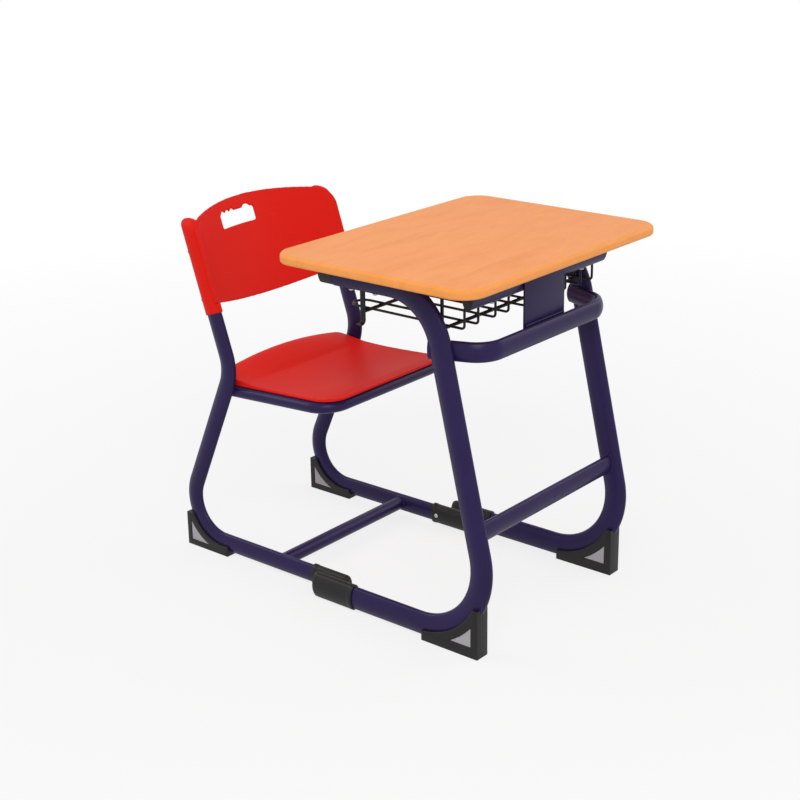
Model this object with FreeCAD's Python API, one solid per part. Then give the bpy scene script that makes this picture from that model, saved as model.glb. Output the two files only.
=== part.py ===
"""Student desk chair: a school desk and its chair tied together by floor rails.

Millimetres, +Z up.  X runs across the desk, -Y is the way the sitter faces,
and the origin is on the floor under the middle of the outer box.
"""
import FreeCAD, Part
import math
import os
from FreeCAD import Vector

# ---------------------------------------------------------------- overall
overall_depth = 878.0            # desktop front edge to the back of the chair frame
desk_height = 760.0              # floor to the writing surface
rail_height = 28.5               # floor to the centre line of the floor rails
oval_fullness = 0.37             # how much an oval tube's ends are drawn in, as a share of its flatness

# ---------------------------------------------------------------- desktop
desktop_width = 650.0
desktop_depth = 480.0
desktop_thickness = 20.0
desktop_corner_radius = 50.0
edge_band_thickness = 12.0       # edge moulded round the board
edge_top_rounding = 8.0
edge_bottom_rounding = 5.0

# ---------------------------------------------------------------- desk frame
desk_frame_spacing = 474.0       # between the centre planes of the two side frames
desk_tube_width = 25.0           # across the side plane
desk_tube_depth = 50.0           # in the side plane
desk_tube_wall = 1.5
desk_leg_lean = 13.0             # degrees from upright, foot forward
desk_upper_bend_radius = 125.0
desk_lower_bend_radius = 150.0
leg_top_setback = 156.0          # desktop front edge to the corner of the bent frame
top_run_setback = 90.0           # desktop rear edge to the open end of the top run
desk_rail_end = 26.0             # y where the desk's floor rail ends in its coupler

plug_stem_length = 25.0
plug_head_length = 39.0
plug_head_inset = 1.0            # head is this much smaller than the tube, all round
plug_clearance = 0.1
plug_tip_rounding = 5.0

crossbar_height = 606.0
crossbar_width = 20.0
crossbar_depth = 40.0
crossbar_wall = 1.5
crossbar_setback = 53.0          # desktop front edge to the centre line of its middle run
crossbar_half_span = 197.0       # half the distance between its two bend corners
crossbar_bend_radius = 55.0
crossbar_root_offset = 30.0      # its ends aim this far behind the leg centre line

footrest_height = 254.0
footrest_width = 20.0
footrest_depth = 40.0
footrest_wall = 1.5

front_rail_length = 458.0
front_rail_width = 25.0
front_rail_depth = 50.0
front_rail_wall = 1.5
front_rail_cap_length = 6.0
front_rail_cap_stem = 15.0
plate_width = 134.0
plate_thickness = 4.0
plate_bottom_drop = 12.0         # how far the plate reaches below the top of the crossbar

# ---------------------------------------------------------------- chair frame
chair_frame_spacing = 410.0
chair_tube_width = 20.0
chair_tube_depth = 40.0
chair_tube_wall = 1.5
chair_leg_lean = 24.0            # degrees from upright, foot to the rear
chair_back_lean = 18.3           # degrees from upright, top to the rear
chair_lower_bend_radius = 90.0
knee_height = 436.0              # corner between the rear leg and the back upright
knee_bend_radius = 100.0
upright_top_height = 700.0
chair_rail_end = -30.0           # y where the chair's floor rail ends in its coupler

cross_tube_diameter = 30.0
cross_tube_wall = 1.5
cross_tube_y = 162.0

seat_tube_diameter = 25.0
seat_tube_wall = 1.5
seat_tube_spacing = 378.0        # between the two side runs
seat_tube_rear_height = 387.0    # centre height where it meets the chair frame
seat_tube_rise = 3.2             # degrees, rising to the front
seat_tube_front_y = 24.0         # centre line of the front run
seat_tube_bend_radius = 50.0

# ---------------------------------------------------------------- seat
seat_width = 382.0
seat_rear_y = 349.0
seat_depth = 335.0
seat_wall = 5.0
seat_gap = 0.3                   # between the rim and the tube under it
seat_rim_depth = 12.0            # the rear rim reaches this far below the top of the tube
seat_rim_start = 315.0           # y where the rim has dropped to that depth
seat_rim_slope = 8.0             # length of the step down
seat_dish = 8.0                  # hollow in the middle of the seat
seat_dish_start = 70.0           # the hollow starts this far from the rear roll
seat_dish_end = 30.0             # and stops this far short of the front lip
seat_lip_crown = 20.0            # extra height of the rear roll at mid width
seat_lip_reach = 90.0            # that height runs out this far from the rear roll
seat_front_corner = 50.0
seat_rear_corner = 28.0

# ---------------------------------------------------------------- backrest
back_wall = 5.0
back_bottom_height = 587.0       # lower corner of the panel, measured up the frame
back_bottom_sag = 31.0
back_top_height = 768.0
back_top_crown = 11.0
back_corner_radius = 45.0
back_hollow = 52.0               # depth of the curve across the back
back_overrun = 20.0              # panel and sleeves are drawn this far past the outline, then cut to it
sleeve_wall = 2.5
sleeve_clearance = 0.3
sleeve_bottom_height = 558.0
handle_centre_x = -41.0
handle_width = 112.0
handle_height = 30.0
handle_below_top = 44.0          # top edge of the panel to the middle of the slot
handle_corner_radius = 5.0
handle_scallop_radius = 7.5
handle_scallops = 3
handle_scallop_inset = 11.2      # end of the slot to the first scallop's centre
handle_scallop_pitch = 16.1
handle_scallop_drop = 3.0        # scallop centres below the slot's upper edge
handle_thumb_radius = 15.4
handle_thumb_inset = 6.0         # end of the slot to the side of the thumb arch
handle_thumb_drop = 9.0

# ---------------------------------------------------------------- couplers
coupler_wall = 3.0
coupler_desk_front = -79.0
coupler_desk_rear = 31.0
coupler_chair_front = -35.0
coupler_chair_rear = 63.0
coupler_web_depth = 34.0
coupler_clearance = 0.15

# ---------------------------------------------------------------- shoes
front_shoe_width = 36.0
front_shoe_tip = 138.5           # length of the sole
front_shoe_toe_gap = 2.0         # tube bend centre line ahead of the shoe's front face
front_shoe_top = 104.0
front_shoe_cover = 8.0           # shoe starts this far outside the bend centre line
rear_shoe_width = 30.0
rear_shoe_tip = 123.0
rear_shoe_top = 78.0
rear_shoe_setback = 2.0          # face of the rear shoe inside the overall depth
rear_shoe_cover = 6.0
shoe_clearance = 0.15
inset_margin = 2.0               # between the tube and the inset's curved edge
front_inset_rim = 16.0
front_inset_sill = 23.0
rear_inset_rim = 13.0
rear_inset_sill = 14.0
inset_recess = 1.0               # insets lie this far inside the shoe's faces
inset_clearance = 0.1

# ---------------------------------------------------------------- basket
basket_drop = 90.0               # desktop underside to the centre of the floor wires
basket_loops = 5
basket_loop_pitch = 96.0
basket_loop_gauge = 42.0         # between the two wires of one loop
basket_front_setback = 95.0      # desktop front edge to the risers
basket_rear_setback = 378.0      # desktop front edge to the rear of the loops
basket_riser = 42.0
basket_wire = 5.0
basket_wire_bend = 7.0
basket_rod = 7.0
basket_front_rod_setback = 141.0
basket_rear_rod_setback = 333.0
basket_rod_bend = 14.0
hanger_width = 12.0
hanger_thickness = 3.0
hanger_bottom = 620.0
hanger_hook_radius = 9.0
hanger_hook_turn = 125.0         # degrees

# ---------------------------------------------------------------- fasteners
desktop_screw_diameter = 5.0
desktop_screw_head = 10.0
desktop_screw_head_height = 3.0
desktop_screw_bite = 13.0
desktop_screw_taper = 1.0        # a head is this much narrower at its face
rail_screw_offset = 150.0
frame_screw_rear_inset = 41.0    # open end of the top run to the screw behind
frame_screw_front_inset = 101.0  # open end of the top run to the screw in front
seat_screw_diameter = 5.0
seat_screw_head = 9.0
seat_screw_head_height = 2.8
seat_boss_diameter = 12.0
seat_boss_sink = 4.0             # how far a boss reaches up into the seat's wall
seat_screw_bite = 3.5            # how far a screw reaches above the tube
seat_boss_y = (110.0, 235.0)
back_rivet_diameter = 4.8
back_rivet_head = 9.5
back_rivet_head_height = 2.0
back_rivet_tail = 3.0            # how far a rivet reaches inside the tube
back_rivet_heights = (590.0, 690.0)
coupler_screw_diameter = 5.0
coupler_screw_head = 10.0
coupler_screw_head_height = 3.0
coupler_screw_tail = 3.0         # how far a screw reaches inside its rail

# ---------------------------------------------------------------- derived
front_edge = -overall_depth / 2
rear_edge = overall_depth / 2
desktop_rear_edge = front_edge + desktop_depth
desk_underside = desk_height - desktop_thickness
desk_frame_x = desk_frame_spacing / 2
chair_frame_x = chair_frame_spacing / 2
top_run_height = desk_underside - desk_tube_depth / 2
leg_corner_y = front_edge + leg_top_setback
top_run_end = desktop_rear_edge - top_run_setback
crossbar_middle_y = front_edge + crossbar_setback
basket_front_y = front_edge + basket_front_setback
basket_rear_y = front_edge + basket_rear_setback
basket_front_rod_y = front_edge + basket_front_rod_setback
basket_rear_rod_y = front_edge + basket_rear_rod_setback
frame_screw_rear_y = top_run_end - frame_screw_rear_inset
frame_screw_front_y = top_run_end - frame_screw_front_inset
lean = math.radians(desk_leg_lean)
leg_foot_y = leg_corner_y - math.tan(lean) * (top_run_height - rail_height)
front_bend_run = desk_lower_bend_radius * math.tan((math.pi / 2 + lean) / 2)
front_bend_centre = (leg_foot_y + front_bend_run, rail_height + desk_lower_bend_radius)
front_shoe_face = front_bend_centre[0] - desk_lower_bend_radius - front_shoe_toe_gap

rake = math.radians(chair_leg_lean)
back = math.radians(chair_back_lean)
rear_bend_centre = (rear_edge - chair_tube_depth / 2 - chair_lower_bend_radius,
                    rail_height + chair_lower_bend_radius)
rear_bend_run = chair_lower_bend_radius * math.tan((math.pi / 2 + rake) / 2)
chair_foot_y = rear_bend_centre[0] + rear_bend_run
knee_y = chair_foot_y - math.tan(rake) * (knee_height - rail_height)
back_axis = Vector(0, math.sin(back), math.cos(back))
back_front = Vector(0, -math.cos(back), math.sin(back))
basket_floor = desk_underside - basket_drop


def leg_centre_y(height):
    """Centre line of the straight part of a desk leg at a height."""
    return leg_corner_y - math.tan(lean) * (top_run_height - height)


def upright_point(height):
    """Centre line of a back upright at a height, in the side plane."""
    return Vector(0, knee_y + math.tan(back) * (height - knee_height), height)


# ---------------------------------------------------------------- shape helpers
def save(shape, name):
    """Write one sub-part."""
    shape.exportStep("parts/" + name + ".step")
    ok = all(solid.isValid() and solid.isClosed() for solid in shape.Solids)
    print(name, "solids", len(shape.Solids), "volume", round(shape.Volume), "ok" if ok else "BAD")


def oval(centre, direction, normal, size_normal, size_plane):
    """A four-arc oval square to direction; a circle where both sizes are equal.

    Ovals that differ by one wall all round share their arc centres, so they stay parallel.
    """
    side = direction.cross(normal).normalize()
    if abs(size_normal - size_plane) < 1e-6:
        return Part.Wire(Part.Circle(centre, direction, size_plane / 2).toShape())
    long_way, short_way = side, normal
    if size_normal > size_plane:
        long_way, short_way = normal, side
    long_half, short_half = max(size_normal, size_plane) / 2, min(size_normal, size_plane) / 2
    end_radius = short_half - oval_fullness * (long_half - short_half)
    reach = long_half - end_radius
    side_radius = (reach ** 2 + short_half ** 2 - end_radius ** 2) / (2 * (short_half - end_radius))
    turn = math.atan2(side_radius - short_half, reach)

    def place(along, across):
        return centre + long_way * along + short_way * across

    join = (reach + end_radius * math.cos(turn), end_radius * math.sin(turn))
    edges = []
    for way in (-1, 1):
        edges.append(Part.Arc(place(way * join[0], -join[1]), place(way * long_half, 0),
                              place(way * join[0], join[1])).toShape())
        edges.append(Part.Arc(place(-join[0], way * join[1]), place(0, way * short_half),
                              place(join[0], way * join[1])).toShape())
    return Part.Wire(Part.__sortEdges__(edges))


def section(centre, direction, normal, size_normal, size_plane, wall):
    """Cross-section of a tube, or of a solid bar where wall is 0."""
    outer = oval(centre, direction, normal, size_normal, size_plane)
    if not wall:
        return Part.Face(outer)
    inner = oval(centre, direction, normal, size_normal - 2 * wall, size_plane - 2 * wall)
    return Part.Face(outer).cut(Part.Face(inner)).Faces[0]


def bent(points, radii, normal, size_normal, size_plane, wall=0.0):
    """A tube or bar along straight runs joined by tangent bends in one plane."""
    pieces = []
    start = points[0]
    for index in range(1, len(points)):
        heading = (points[index] - points[index - 1]).normalize()
        stop = points[index]
        radius = radii[index - 1] if index - 1 < len(radii) else 0.0
        if radius:
            turned = (points[index + 1] - points[index]).normalize()
            angle = heading.getAngle(turned)
            stop = points[index] - heading * (radius * math.tan(angle / 2))
        run = section(start, heading, normal, size_normal, size_plane, wall)
        pieces.append(run.extrude(stop - start))
        if not radius:
            break
        axis = heading.cross(turned).normalize()
        centre = stop + axis.cross(heading) * radius
        elbow = section(stop, heading, normal, size_normal, size_plane, wall)
        pieces.append(elbow.revolve(centre, axis, math.degrees(angle)))
        start = points[index] + turned * (radius * math.tan(angle / 2))
    if len(pieces) == 1:
        return pieces[0]
    return pieces[0].fuse(pieces[1:]).removeSplitter()


def rod(start, stop, diameter):
    """A plain round bar between two points."""
    return Part.makeCylinder(diameter / 2, (stop - start).Length, start, stop - start)


def block(x, y, z):
    """A box from three (low, high) pairs."""
    return Part.makeBox(x[1] - x[0], y[1] - y[0], z[1] - z[0], Vector(x[0], y[0], z[0]))


def mirrored(shape):
    """The same piece for the other side of the desk."""
    return shape.mirror(Vector(0, 0, 0), Vector(1, 0, 0))


def rounded_outline(x_half, y_low, y_high, low_radius, high_radius, z):
    """A closed rectangle with rounded corners in a level plane."""
    edges = []
    corners = ((x_half, y_low, low_radius, -90), (x_half, y_high, high_radius, 0),
               (-x_half, y_high, high_radius, 90), (-x_half, y_low, low_radius, 180))
    ends = []
    for x, y, radius, turn in corners:
        centre = Vector(x - math.copysign(radius, x), y + (radius if y == y_low else -radius), z)
        arc = Part.Circle(centre, Vector(0, 0, 1), radius)
        first, last = math.radians(turn), math.radians(turn + 90)
        edge = Part.ArcOfCircle(arc, first, last).toShape()
        ends.append((arc.value(first), arc.value(last)))
        edges.append(edge)
    for index in range(4):
        stop = ends[(index + 1) % 4][0]
        edges.append(Part.LineSegment(ends[index][1], stop).toShape())
    return Part.Wire(Part.__sortEdges__(edges))


def level_slab(wire, height):
    """Extrude a level outline upwards."""
    return Part.Face(wire).extrude(Vector(0, 0, height))


# ---------------------------------------------------------------- desktop
def board_outline(inset, z):
    radius = desktop_corner_radius - inset
    return rounded_outline(desktop_width / 2 - inset, front_edge + inset, desktop_rear_edge - inset,
                           radius, radius, z)


def desktop_screw_places():
    """Screw centres: two up each side frame and two through the front rail."""
    places = []
    for side in (-1, 1):
        for y in (frame_screw_rear_y, frame_screw_front_y):
            places.append((side * desk_frame_x, y, desk_underside - desk_tube_depth))
        places.append((side * rail_screw_offset, front_rail_y, desk_underside - front_rail_depth))
    return places


def screw_hole(place, diameter, top):
    x, y, z = place
    return rod(Vector(x, y, z - desktop_screw_head), Vector(x, y, top), diameter)


def desktop_board():
    board = level_slab(board_outline(edge_band_thickness, desk_underside), desktop_thickness)
    for place in desktop_screw_places():
        board = board.cut(screw_hole(place, desktop_screw_diameter, desk_underside + desktop_screw_bite))
    return board


def desktop_edge_band():
    outer = level_slab(board_outline(0.0, desk_underside), desktop_thickness)
    for height, rounding in ((desk_height, edge_top_rounding), (desk_underside, edge_bottom_rounding)):
        rims = [edge for edge in outer.Edges
                if abs(edge.BoundBox.ZMax - height) < 1e-6 and edge.BoundBox.ZLength < 1e-6]
        outer = outer.makeFillet(rounding, rims)
    inner = level_slab(board_outline(edge_band_thickness, desk_underside - 1), desktop_thickness + 2)
    return outer.cut(inner)


def desktop_screws():
    screws = []
    for x, y, z in desktop_screw_places():
        shank = rod(Vector(x, y, z), Vector(x, y, desk_underside + desktop_screw_bite),
                    desktop_screw_diameter)
        head = Part.makeCone(desktop_screw_head / 2 - desktop_screw_taper, desktop_screw_head / 2,
                             desktop_screw_head_height, Vector(x, y, z - desktop_screw_head_height))
        screws.append(shank.fuse(head))
    return Part.makeCompound(screws)


# ---------------------------------------------------------------- desk side frames
def desk_frame_points(x):
    return [Vector(x, top_run_end, top_run_height), Vector(x, leg_corner_y, top_run_height),
            Vector(x, leg_foot_y, rail_height), Vector(x, desk_rail_end, rail_height)]


def desk_frame_body(x, wall, grow=0.0):
    return bent(desk_frame_points(x), [desk_upper_bend_radius, desk_lower_bend_radius],
                Vector(1, 0, 0), desk_tube_width + 2 * grow, desk_tube_depth + 2 * grow, wall)


def desk_frame(x):
    tube = desk_frame_body(x, desk_tube_wall)
    for place in desktop_screw_places():
        if abs(place[0] - x) < 1:
            tube = tube.cut(screw_hole(place, desktop_screw_diameter, desk_underside + 1))
    tube = tube.cut(coupler_screw_shank(x, coupler_desk_screw_y))
    return tube


def desk_end_plug(x):
    """Black plug closing the rear end of a top run."""
    normal = Vector(1, 0, 0)
    mouth = Vector(x, top_run_end, top_run_height)
    bore_width = desk_tube_width - 2 * desk_tube_wall - 2 * plug_clearance
    bore_depth = desk_tube_depth - 2 * desk_tube_wall - 2 * plug_clearance
    stem = section(mouth, Vector(0, 1, 0), normal, bore_width, bore_depth, 0)
    stem = stem.extrude(Vector(0, -plug_stem_length, 0))
    head = section(mouth, Vector(0, 1, 0), normal, desk_tube_width - 2 * plug_head_inset,
                   desk_tube_depth - 2 * plug_head_inset, 0)
    head = head.extrude(Vector(0, plug_head_length, 0))
    tip = [edge for edge in head.Edges if edge.BoundBox.YMin > top_run_end + plug_head_length - 1]
    return head.makeFillet(plug_tip_rounding, tip).fuse(stem)


def crossbar_points():
    root = leg_centre_y(crossbar_height) + crossbar_root_offset
    return [Vector(-desk_frame_x, root, crossbar_height),
            Vector(-crossbar_half_span, crossbar_middle_y, crossbar_height),
            Vector(crossbar_half_span, crossbar_middle_y, crossbar_height),
            Vector(desk_frame_x, root, crossbar_height)]


def desk_crossbar():
    bar = bent(crossbar_points(), [crossbar_bend_radius] * 2, Vector(0, 0, 1),
               crossbar_depth, crossbar_width, crossbar_wall)
    return coped(bar, [desk_frame_body(-desk_frame_x, 0), desk_frame_body(desk_frame_x, 0)])


def coped(shape, others):
    """Trim a tube's ends to the tubes it is welded to, and keep its main solid."""
    for other in others:
        shape = shape.cut(other)
    return max(shape.Solids, key=lambda solid: solid.Volume)


def footrest_tube():
    y = leg_centre_y(footrest_height)
    bar = bent([Vector(-desk_frame_x, y, footrest_height), Vector(desk_frame_x, y, footrest_height)],
               [], Vector(0, 0, 1), footrest_depth, footrest_width, footrest_wall)
    return coped(bar, [desk_frame_body(-desk_frame_x, 0), desk_frame_body(desk_frame_x, 0)])


plate_y = crossbar_middle_y + crossbar_width / 2 + plate_thickness / 2
front_rail_y = plate_y + plate_thickness / 2 + front_rail_width / 2
front_rail_height = desk_underside - front_rail_depth / 2


def desktop_front_rail():
    half = front_rail_length / 2 - front_rail_cap_length
    ends = [Vector(side * half, front_rail_y, front_rail_height) for side in (-1, 1)]
    rail = bent(ends, [], Vector(0, 0, 1), front_rail_depth, front_rail_width, front_rail_wall)
    for place in desktop_screw_places():
        if abs(place[1] - front_rail_y) < 1:
            rail = rail.cut(screw_hole(place, desktop_screw_diameter, desk_underside + 1))
    return rail


def front_rail_caps():
    caps = []
    for side in (-1, 1):
        way = Vector(side, 0, 0)
        mouth_x = front_rail_length / 2 - front_rail_cap_length
        mouth = Vector(side * mouth_x, front_rail_y, front_rail_height)
        head = section(mouth, way, Vector(0, 0, 1), front_rail_depth, front_rail_width, 0)
        head = head.extrude(way * front_rail_cap_length)
        outer = [edge for edge in head.Edges
                 if abs(edge.CenterOfMass.x) > mouth_x + front_rail_cap_length / 2
                 and edge.BoundBox.XLength < 0.1]
        head = head.makeFillet(front_rail_cap_length / 2, outer)
        fit = 2 * front_rail_wall + 2 * plug_clearance
        stem = section(mouth, way, Vector(0, 0, 1), front_rail_depth - fit, front_rail_width - fit, 0)
        caps.append(head.fuse(stem.extrude(way * -front_rail_cap_stem)))
    return Part.makeCompound(caps)


def crossbar_support_plate():
    half = plate_width / 2
    bottom = crossbar_height + crossbar_depth / 2 - plate_bottom_drop
    return block((-half, half), (plate_y - plate_thickness / 2, plate_y + plate_thickness / 2),
                 (bottom, desk_underside))


# ---------------------------------------------------------------- chair side frames
def chair_frame_points(x):
    top = upright_point(upright_top_height)
    return [Vector(x, top.y, top.z), Vector(x, knee_y, knee_height),
            Vector(x, chair_foot_y, rail_height), Vector(x, chair_rail_end, rail_height)]


def chair_frame_body(x, wall, grow=0.0):
    return bent(chair_frame_points(x), [knee_bend_radius, chair_lower_bend_radius],
                Vector(1, 0, 0), chair_tube_width + 2 * grow, chair_tube_depth + 2 * grow, wall)


def chair_frame(x):
    tube = chair_frame_body(x, chair_tube_wall)
    for height in back_rivet_heights:
        tube = tube.cut(back_rivet_bore(x, height))
    return tube.cut(coupler_screw_shank(x, coupler_chair_screw_y))


def floor_cross_tube():
    ends = [Vector(side * chair_frame_x, cross_tube_y, rail_height) for side in (-1, 1)]
    bar = bent(ends, [], Vector(0, 0, 1), cross_tube_diameter, cross_tube_diameter, cross_tube_wall)
    return coped(bar, [chair_frame_body(-chair_frame_x, 0), chair_frame_body(chair_frame_x, 0)])


rise = math.radians(seat_tube_rise)
seat_tube_rear_y = knee_y + chair_tube_depth / 4
seat_normal = Vector(0, math.sin(rise), math.cos(rise))


def seat_tube_height(y):
    """Centre height of the seat support tube at y."""
    return seat_tube_rear_height + math.tan(rise) * (seat_tube_rear_y - y)


def seat_tube_points():
    side = seat_tube_spacing / 2
    rear_z, front_z = seat_tube_height(seat_tube_rear_y), seat_tube_height(seat_tube_front_y)
    return [Vector(-side, seat_tube_rear_y, rear_z), Vector(-side, seat_tube_front_y, front_z),
            Vector(side, seat_tube_front_y, front_z), Vector(side, seat_tube_rear_y, rear_z)]


def seat_support_tube():
    tube = bent(seat_tube_points(), [seat_tube_bend_radius] * 2, seat_normal,
                seat_tube_diameter, seat_tube_diameter, seat_tube_wall)
    tube = coped(tube, [chair_frame_body(-chair_frame_x, 0), chair_frame_body(chair_frame_x, 0)])
    for x, y in seat_screw_places():
        tube = tube.cut(seat_screw_shank(x, y))
    return tube


# ---------------------------------------------------------------- seat
def seat_point(x, behind, height):
    """Seat coordinates: distance from the rear roll and height over the support tube."""
    y = seat_rear_y - behind
    return Vector(x, y, seat_tube_height(y) + seat_tube_diameter / 2 / math.cos(rise) + height)


# distance from the rear edge and height of the top face over the tube, rear to front lip
seat_side_line = ((0.0, 11.0), (3.0, 15.5), (9.0, 19.0), (19.0, 20.5), (40.0, 18.5),
                  (70.0, 13.5), (105.0, 9.0), (150.0, 6.5), (200.0, 5.5), (250.0, 5.4),
                  (290.0, 5.6), (315.0, 5.8), (335.0, 5.0))


def seat_top():
    """The seat's top face."""
    half = seat_width / 2
    last = seat_side_line[-1][0]
    dish_length = last - seat_dish_start - seat_dish_end
    rows = []
    for reach, height in seat_side_line:
        scale = seat_depth / last
        row = []
        share = min(1.0, max(0.0, (reach - seat_dish_start) / dish_length))
        for step in range(-4, 5):
            x = half * step / 4
            middle = 1 - (x / half) ** 2
            hollow = seat_dish * middle * math.sin(math.pi * share)
            crown = seat_lip_crown * middle * max(0.0, 1 - reach / seat_lip_reach)
            row.append(seat_point(x, reach * scale, height + seat_gap + crown - hollow))
        rows.append(row)
    surface = Part.BSplineSurface()
    surface.interpolate(rows)
    return surface.toShape()


def seat_prism(inset):
    """Upright prism of the seat's plan outline."""
    outline = rounded_outline(seat_width / 2 - inset, seat_rear_y - seat_depth + inset, seat_rear_y - inset,
                              seat_front_corner - inset, seat_rear_corner - inset, 0)
    return level_slab(outline, desk_height)


def below_seat_rim():
    """Everything under the rim's lower edge."""
    top = seat_tube_diameter / 2 / math.cos(rise)
    step_y = seat_rim_start - seat_rim_slope
    points = [(y, seat_tube_height(y) + top + lift)
              for y, lift in ((0.0, seat_gap), (step_y, seat_gap), (seat_rim_start, -seat_rim_depth),
                              (rear_edge, -seat_rim_depth))]
    return side_prism(points + [(rear_edge, 0), (0, 0)], 0, desktop_width)


def seat_shell():
    """Dished top with a rim that stands on the support tube and turns down behind it."""
    top = seat_top()
    down = Vector(0, 0, -seat_tube_rear_height)
    shell = top.extrude(down).common(seat_prism(0.0))
    hollow = top.translated(Vector(0, 0, -seat_wall)).extrude(down).common(seat_prism(seat_wall))
    shell = shell.cut(hollow).cut(below_seat_rim().cut(seat_prism(seat_wall)))
    for x, y in seat_screw_places():
        shell = shell.fuse(seat_boss(x, y))
        shell = shell.cut(seat_screw_shank(x, y))
    return max(shell.Solids, key=lambda solid: solid.Volume)


# ---------------------------------------------------------------- seat fixings
def seat_screw_places():
    return [(side * (seat_tube_spacing / 2 - seat_screw_diameter), y)
            for side in (-1, 1) for y in seat_boss_y]


def seat_boss(x, y):
    """Short post under the seat that stands on the support tube."""
    low = seat_tube_height(y)
    high = low + seat_tube_diameter / 2 + seat_boss_sink
    post = rod(Vector(x, y, low), Vector(x, y, high), seat_boss_diameter)
    return post.cut(bent(seat_tube_points(), [seat_tube_bend_radius] * 2, seat_normal,
                         seat_tube_diameter, seat_tube_diameter))


def seat_screw_shank(x, y):
    low = seat_tube_height(y) - seat_tube_diameter / 2
    high = low + seat_tube_diameter + seat_screw_bite
    return rod(Vector(x, y, low - seat_screw_head_height), Vector(x, y, high), seat_screw_diameter)


def seat_screws():
    screws = []
    for x, y in seat_screw_places():
        low = seat_tube_height(y) - seat_tube_diameter / 2
        head = rod(Vector(x, y, low - seat_screw_head_height),
                   Vector(x, y, low + seat_tube_wall), seat_screw_head)
        head = head.cut(bent(seat_tube_points(), [seat_tube_bend_radius] * 2, seat_normal,
                             seat_tube_diameter, seat_tube_diameter))
        screws.append(head.fuse(seat_screw_shank(x, y)))
    return Part.makeCompound(screws)


# ---------------------------------------------------------------- backrest
def back_point(x, height, forward):
    """Point on the backrest: across, height on the upright's centre line, forward of it."""
    return upright_point(height) + Vector(x, 0, 0) + back_front * forward


def back_curve(x):
    """How far forward of the uprights the panel lies at x."""
    edge = chair_tube_depth / 2 + sleeve_clearance + sleeve_wall - back_wall / 2
    return edge - back_hollow * (1 - (x / chair_frame_x) ** 2)


def back_panel():
    half = chair_frame_x
    rows = []
    for level in range(5):
        height = sleeve_bottom_height + level * (back_top_height + back_overrun - sleeve_bottom_height) / 4
        rows.append([back_point(half * step / 6, height, back_curve(half * step / 6) - back_wall / 2)
                     for step in range(-6, 7)])
    surface = Part.BSplineSurface()
    surface.interpolate(rows)
    panel = surface.toShape().makeOffsetShape(back_wall, 0.01, fill=True)
    if panel.ShapeType != "Solid":
        panel = panel.Solids[0]
    return panel.common(back_outline())


def back_outline():
    """Prism of the panel's outline, looking along -Y."""
    half = chair_frame_x + chair_tube_width / 2 + sleeve_clearance + sleeve_wall
    low, high = back_bottom_height, back_top_height
    radius = back_corner_radius
    shoulder = high - back_top_crown
    left, right = -half, half
    turn = radius * (1 - math.sqrt(0.5))
    points = {
        "bl": Vector(left, 0, low), "br": Vector(right, 0, low), "bm": Vector(0, 0, low - back_bottom_sag),
        "r1": Vector(right, 0, shoulder - radius), "rm": Vector(right - turn, 0, shoulder - turn),
        "r2": Vector(right - radius, 0, shoulder), "tm": Vector(0, 0, high),
        "l2": Vector(left + radius, 0, shoulder), "lm": Vector(left + turn, 0, shoulder - turn),
        "l1": Vector(left, 0, shoulder - radius)}
    edges = [Part.Arc(points["bl"], points["bm"], points["br"]).toShape(),
             Part.LineSegment(points["br"], points["r1"]).toShape(),
             Part.Arc(points["r1"], points["rm"], points["r2"]).toShape(),
             Part.Arc(points["r2"], points["tm"], points["l2"]).toShape(),
             Part.Arc(points["l2"], points["lm"], points["l1"]).toShape(),
             Part.LineSegment(points["l1"], points["bl"]).toShape()]
    face = Part.Face(Part.Wire(Part.__sortEdges__(edges)))
    return face.extrude(Vector(0, overall_depth, 0))


def sleeve(x):
    """Pocket of the backrest round one upright, before it is bored."""
    low = upright_point(sleeve_bottom_height) + Vector(x, 0, 0)
    high = upright_point(back_top_height + back_overrun) + Vector(x, 0, 0)
    grow = 2 * (sleeve_clearance + sleeve_wall)
    post = section(low, back_axis, Vector(1, 0, 0), chair_tube_width + grow, chair_tube_depth + grow, 0)
    post = post.extrude(high - low)
    top = back_outline()
    skirt = block((-desktop_width, desktop_width), (0, overall_depth), (0, back_bottom_height + back_wall))
    return post.common(top.fuse(skirt))


def sleeve_bore(x):
    low = upright_point(sleeve_bottom_height - back_overrun) + Vector(x, 0, 0)
    high = upright_point(upright_top_height) + back_axis * sleeve_clearance + Vector(x, 0, 0)
    grow = 2 * sleeve_clearance
    bore = section(low, back_axis, Vector(1, 0, 0), chair_tube_width + grow, chair_tube_depth + grow, 0)
    return bore.extrude(high - low)


def handle_slot():
    """Hand hole with a scalloped upper edge and a thumb arch at one end."""
    middle = back_top_height - handle_below_top
    low, high = middle - handle_height / 2, middle + handle_height / 2
    left, right = handle_centre_x - handle_width / 2, handle_centre_x + handle_width / 2
    rear = (0, overall_depth)
    slot = block((left, right), rear, (low, high))
    uprights = [edge for edge in slot.Edges if edge.BoundBox.YLength > overall_depth / 2]
    slot = slot.makeFillet(handle_corner_radius, uprights)
    for index in range(handle_scallops):
        x = left + handle_scallop_inset + index * handle_scallop_pitch
        slot = slot.fuse(Part.makeCylinder(handle_scallop_radius, rear[1],
                                           Vector(x, 0, high - handle_scallop_drop), Vector(0, 1, 0)))
    x = right - handle_thumb_inset - handle_thumb_radius
    return slot.fuse(Part.makeCylinder(handle_thumb_radius, rear[1],
                                       Vector(x, 0, high - handle_thumb_drop), Vector(0, 1, 0)))


def backrest_shell():
    shell = back_panel()
    for side in (-1, 1):
        shell = shell.fuse(sleeve(side * chair_frame_x))
    for side in (-1, 1):
        shell = shell.cut(sleeve_bore(side * chair_frame_x))
        for height in back_rivet_heights:
            shell = shell.cut(back_rivet_bore(side * chair_frame_x, height))
    shell = shell.cut(handle_slot())
    return max(shell.Solids, key=lambda solid: solid.Volume)


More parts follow.
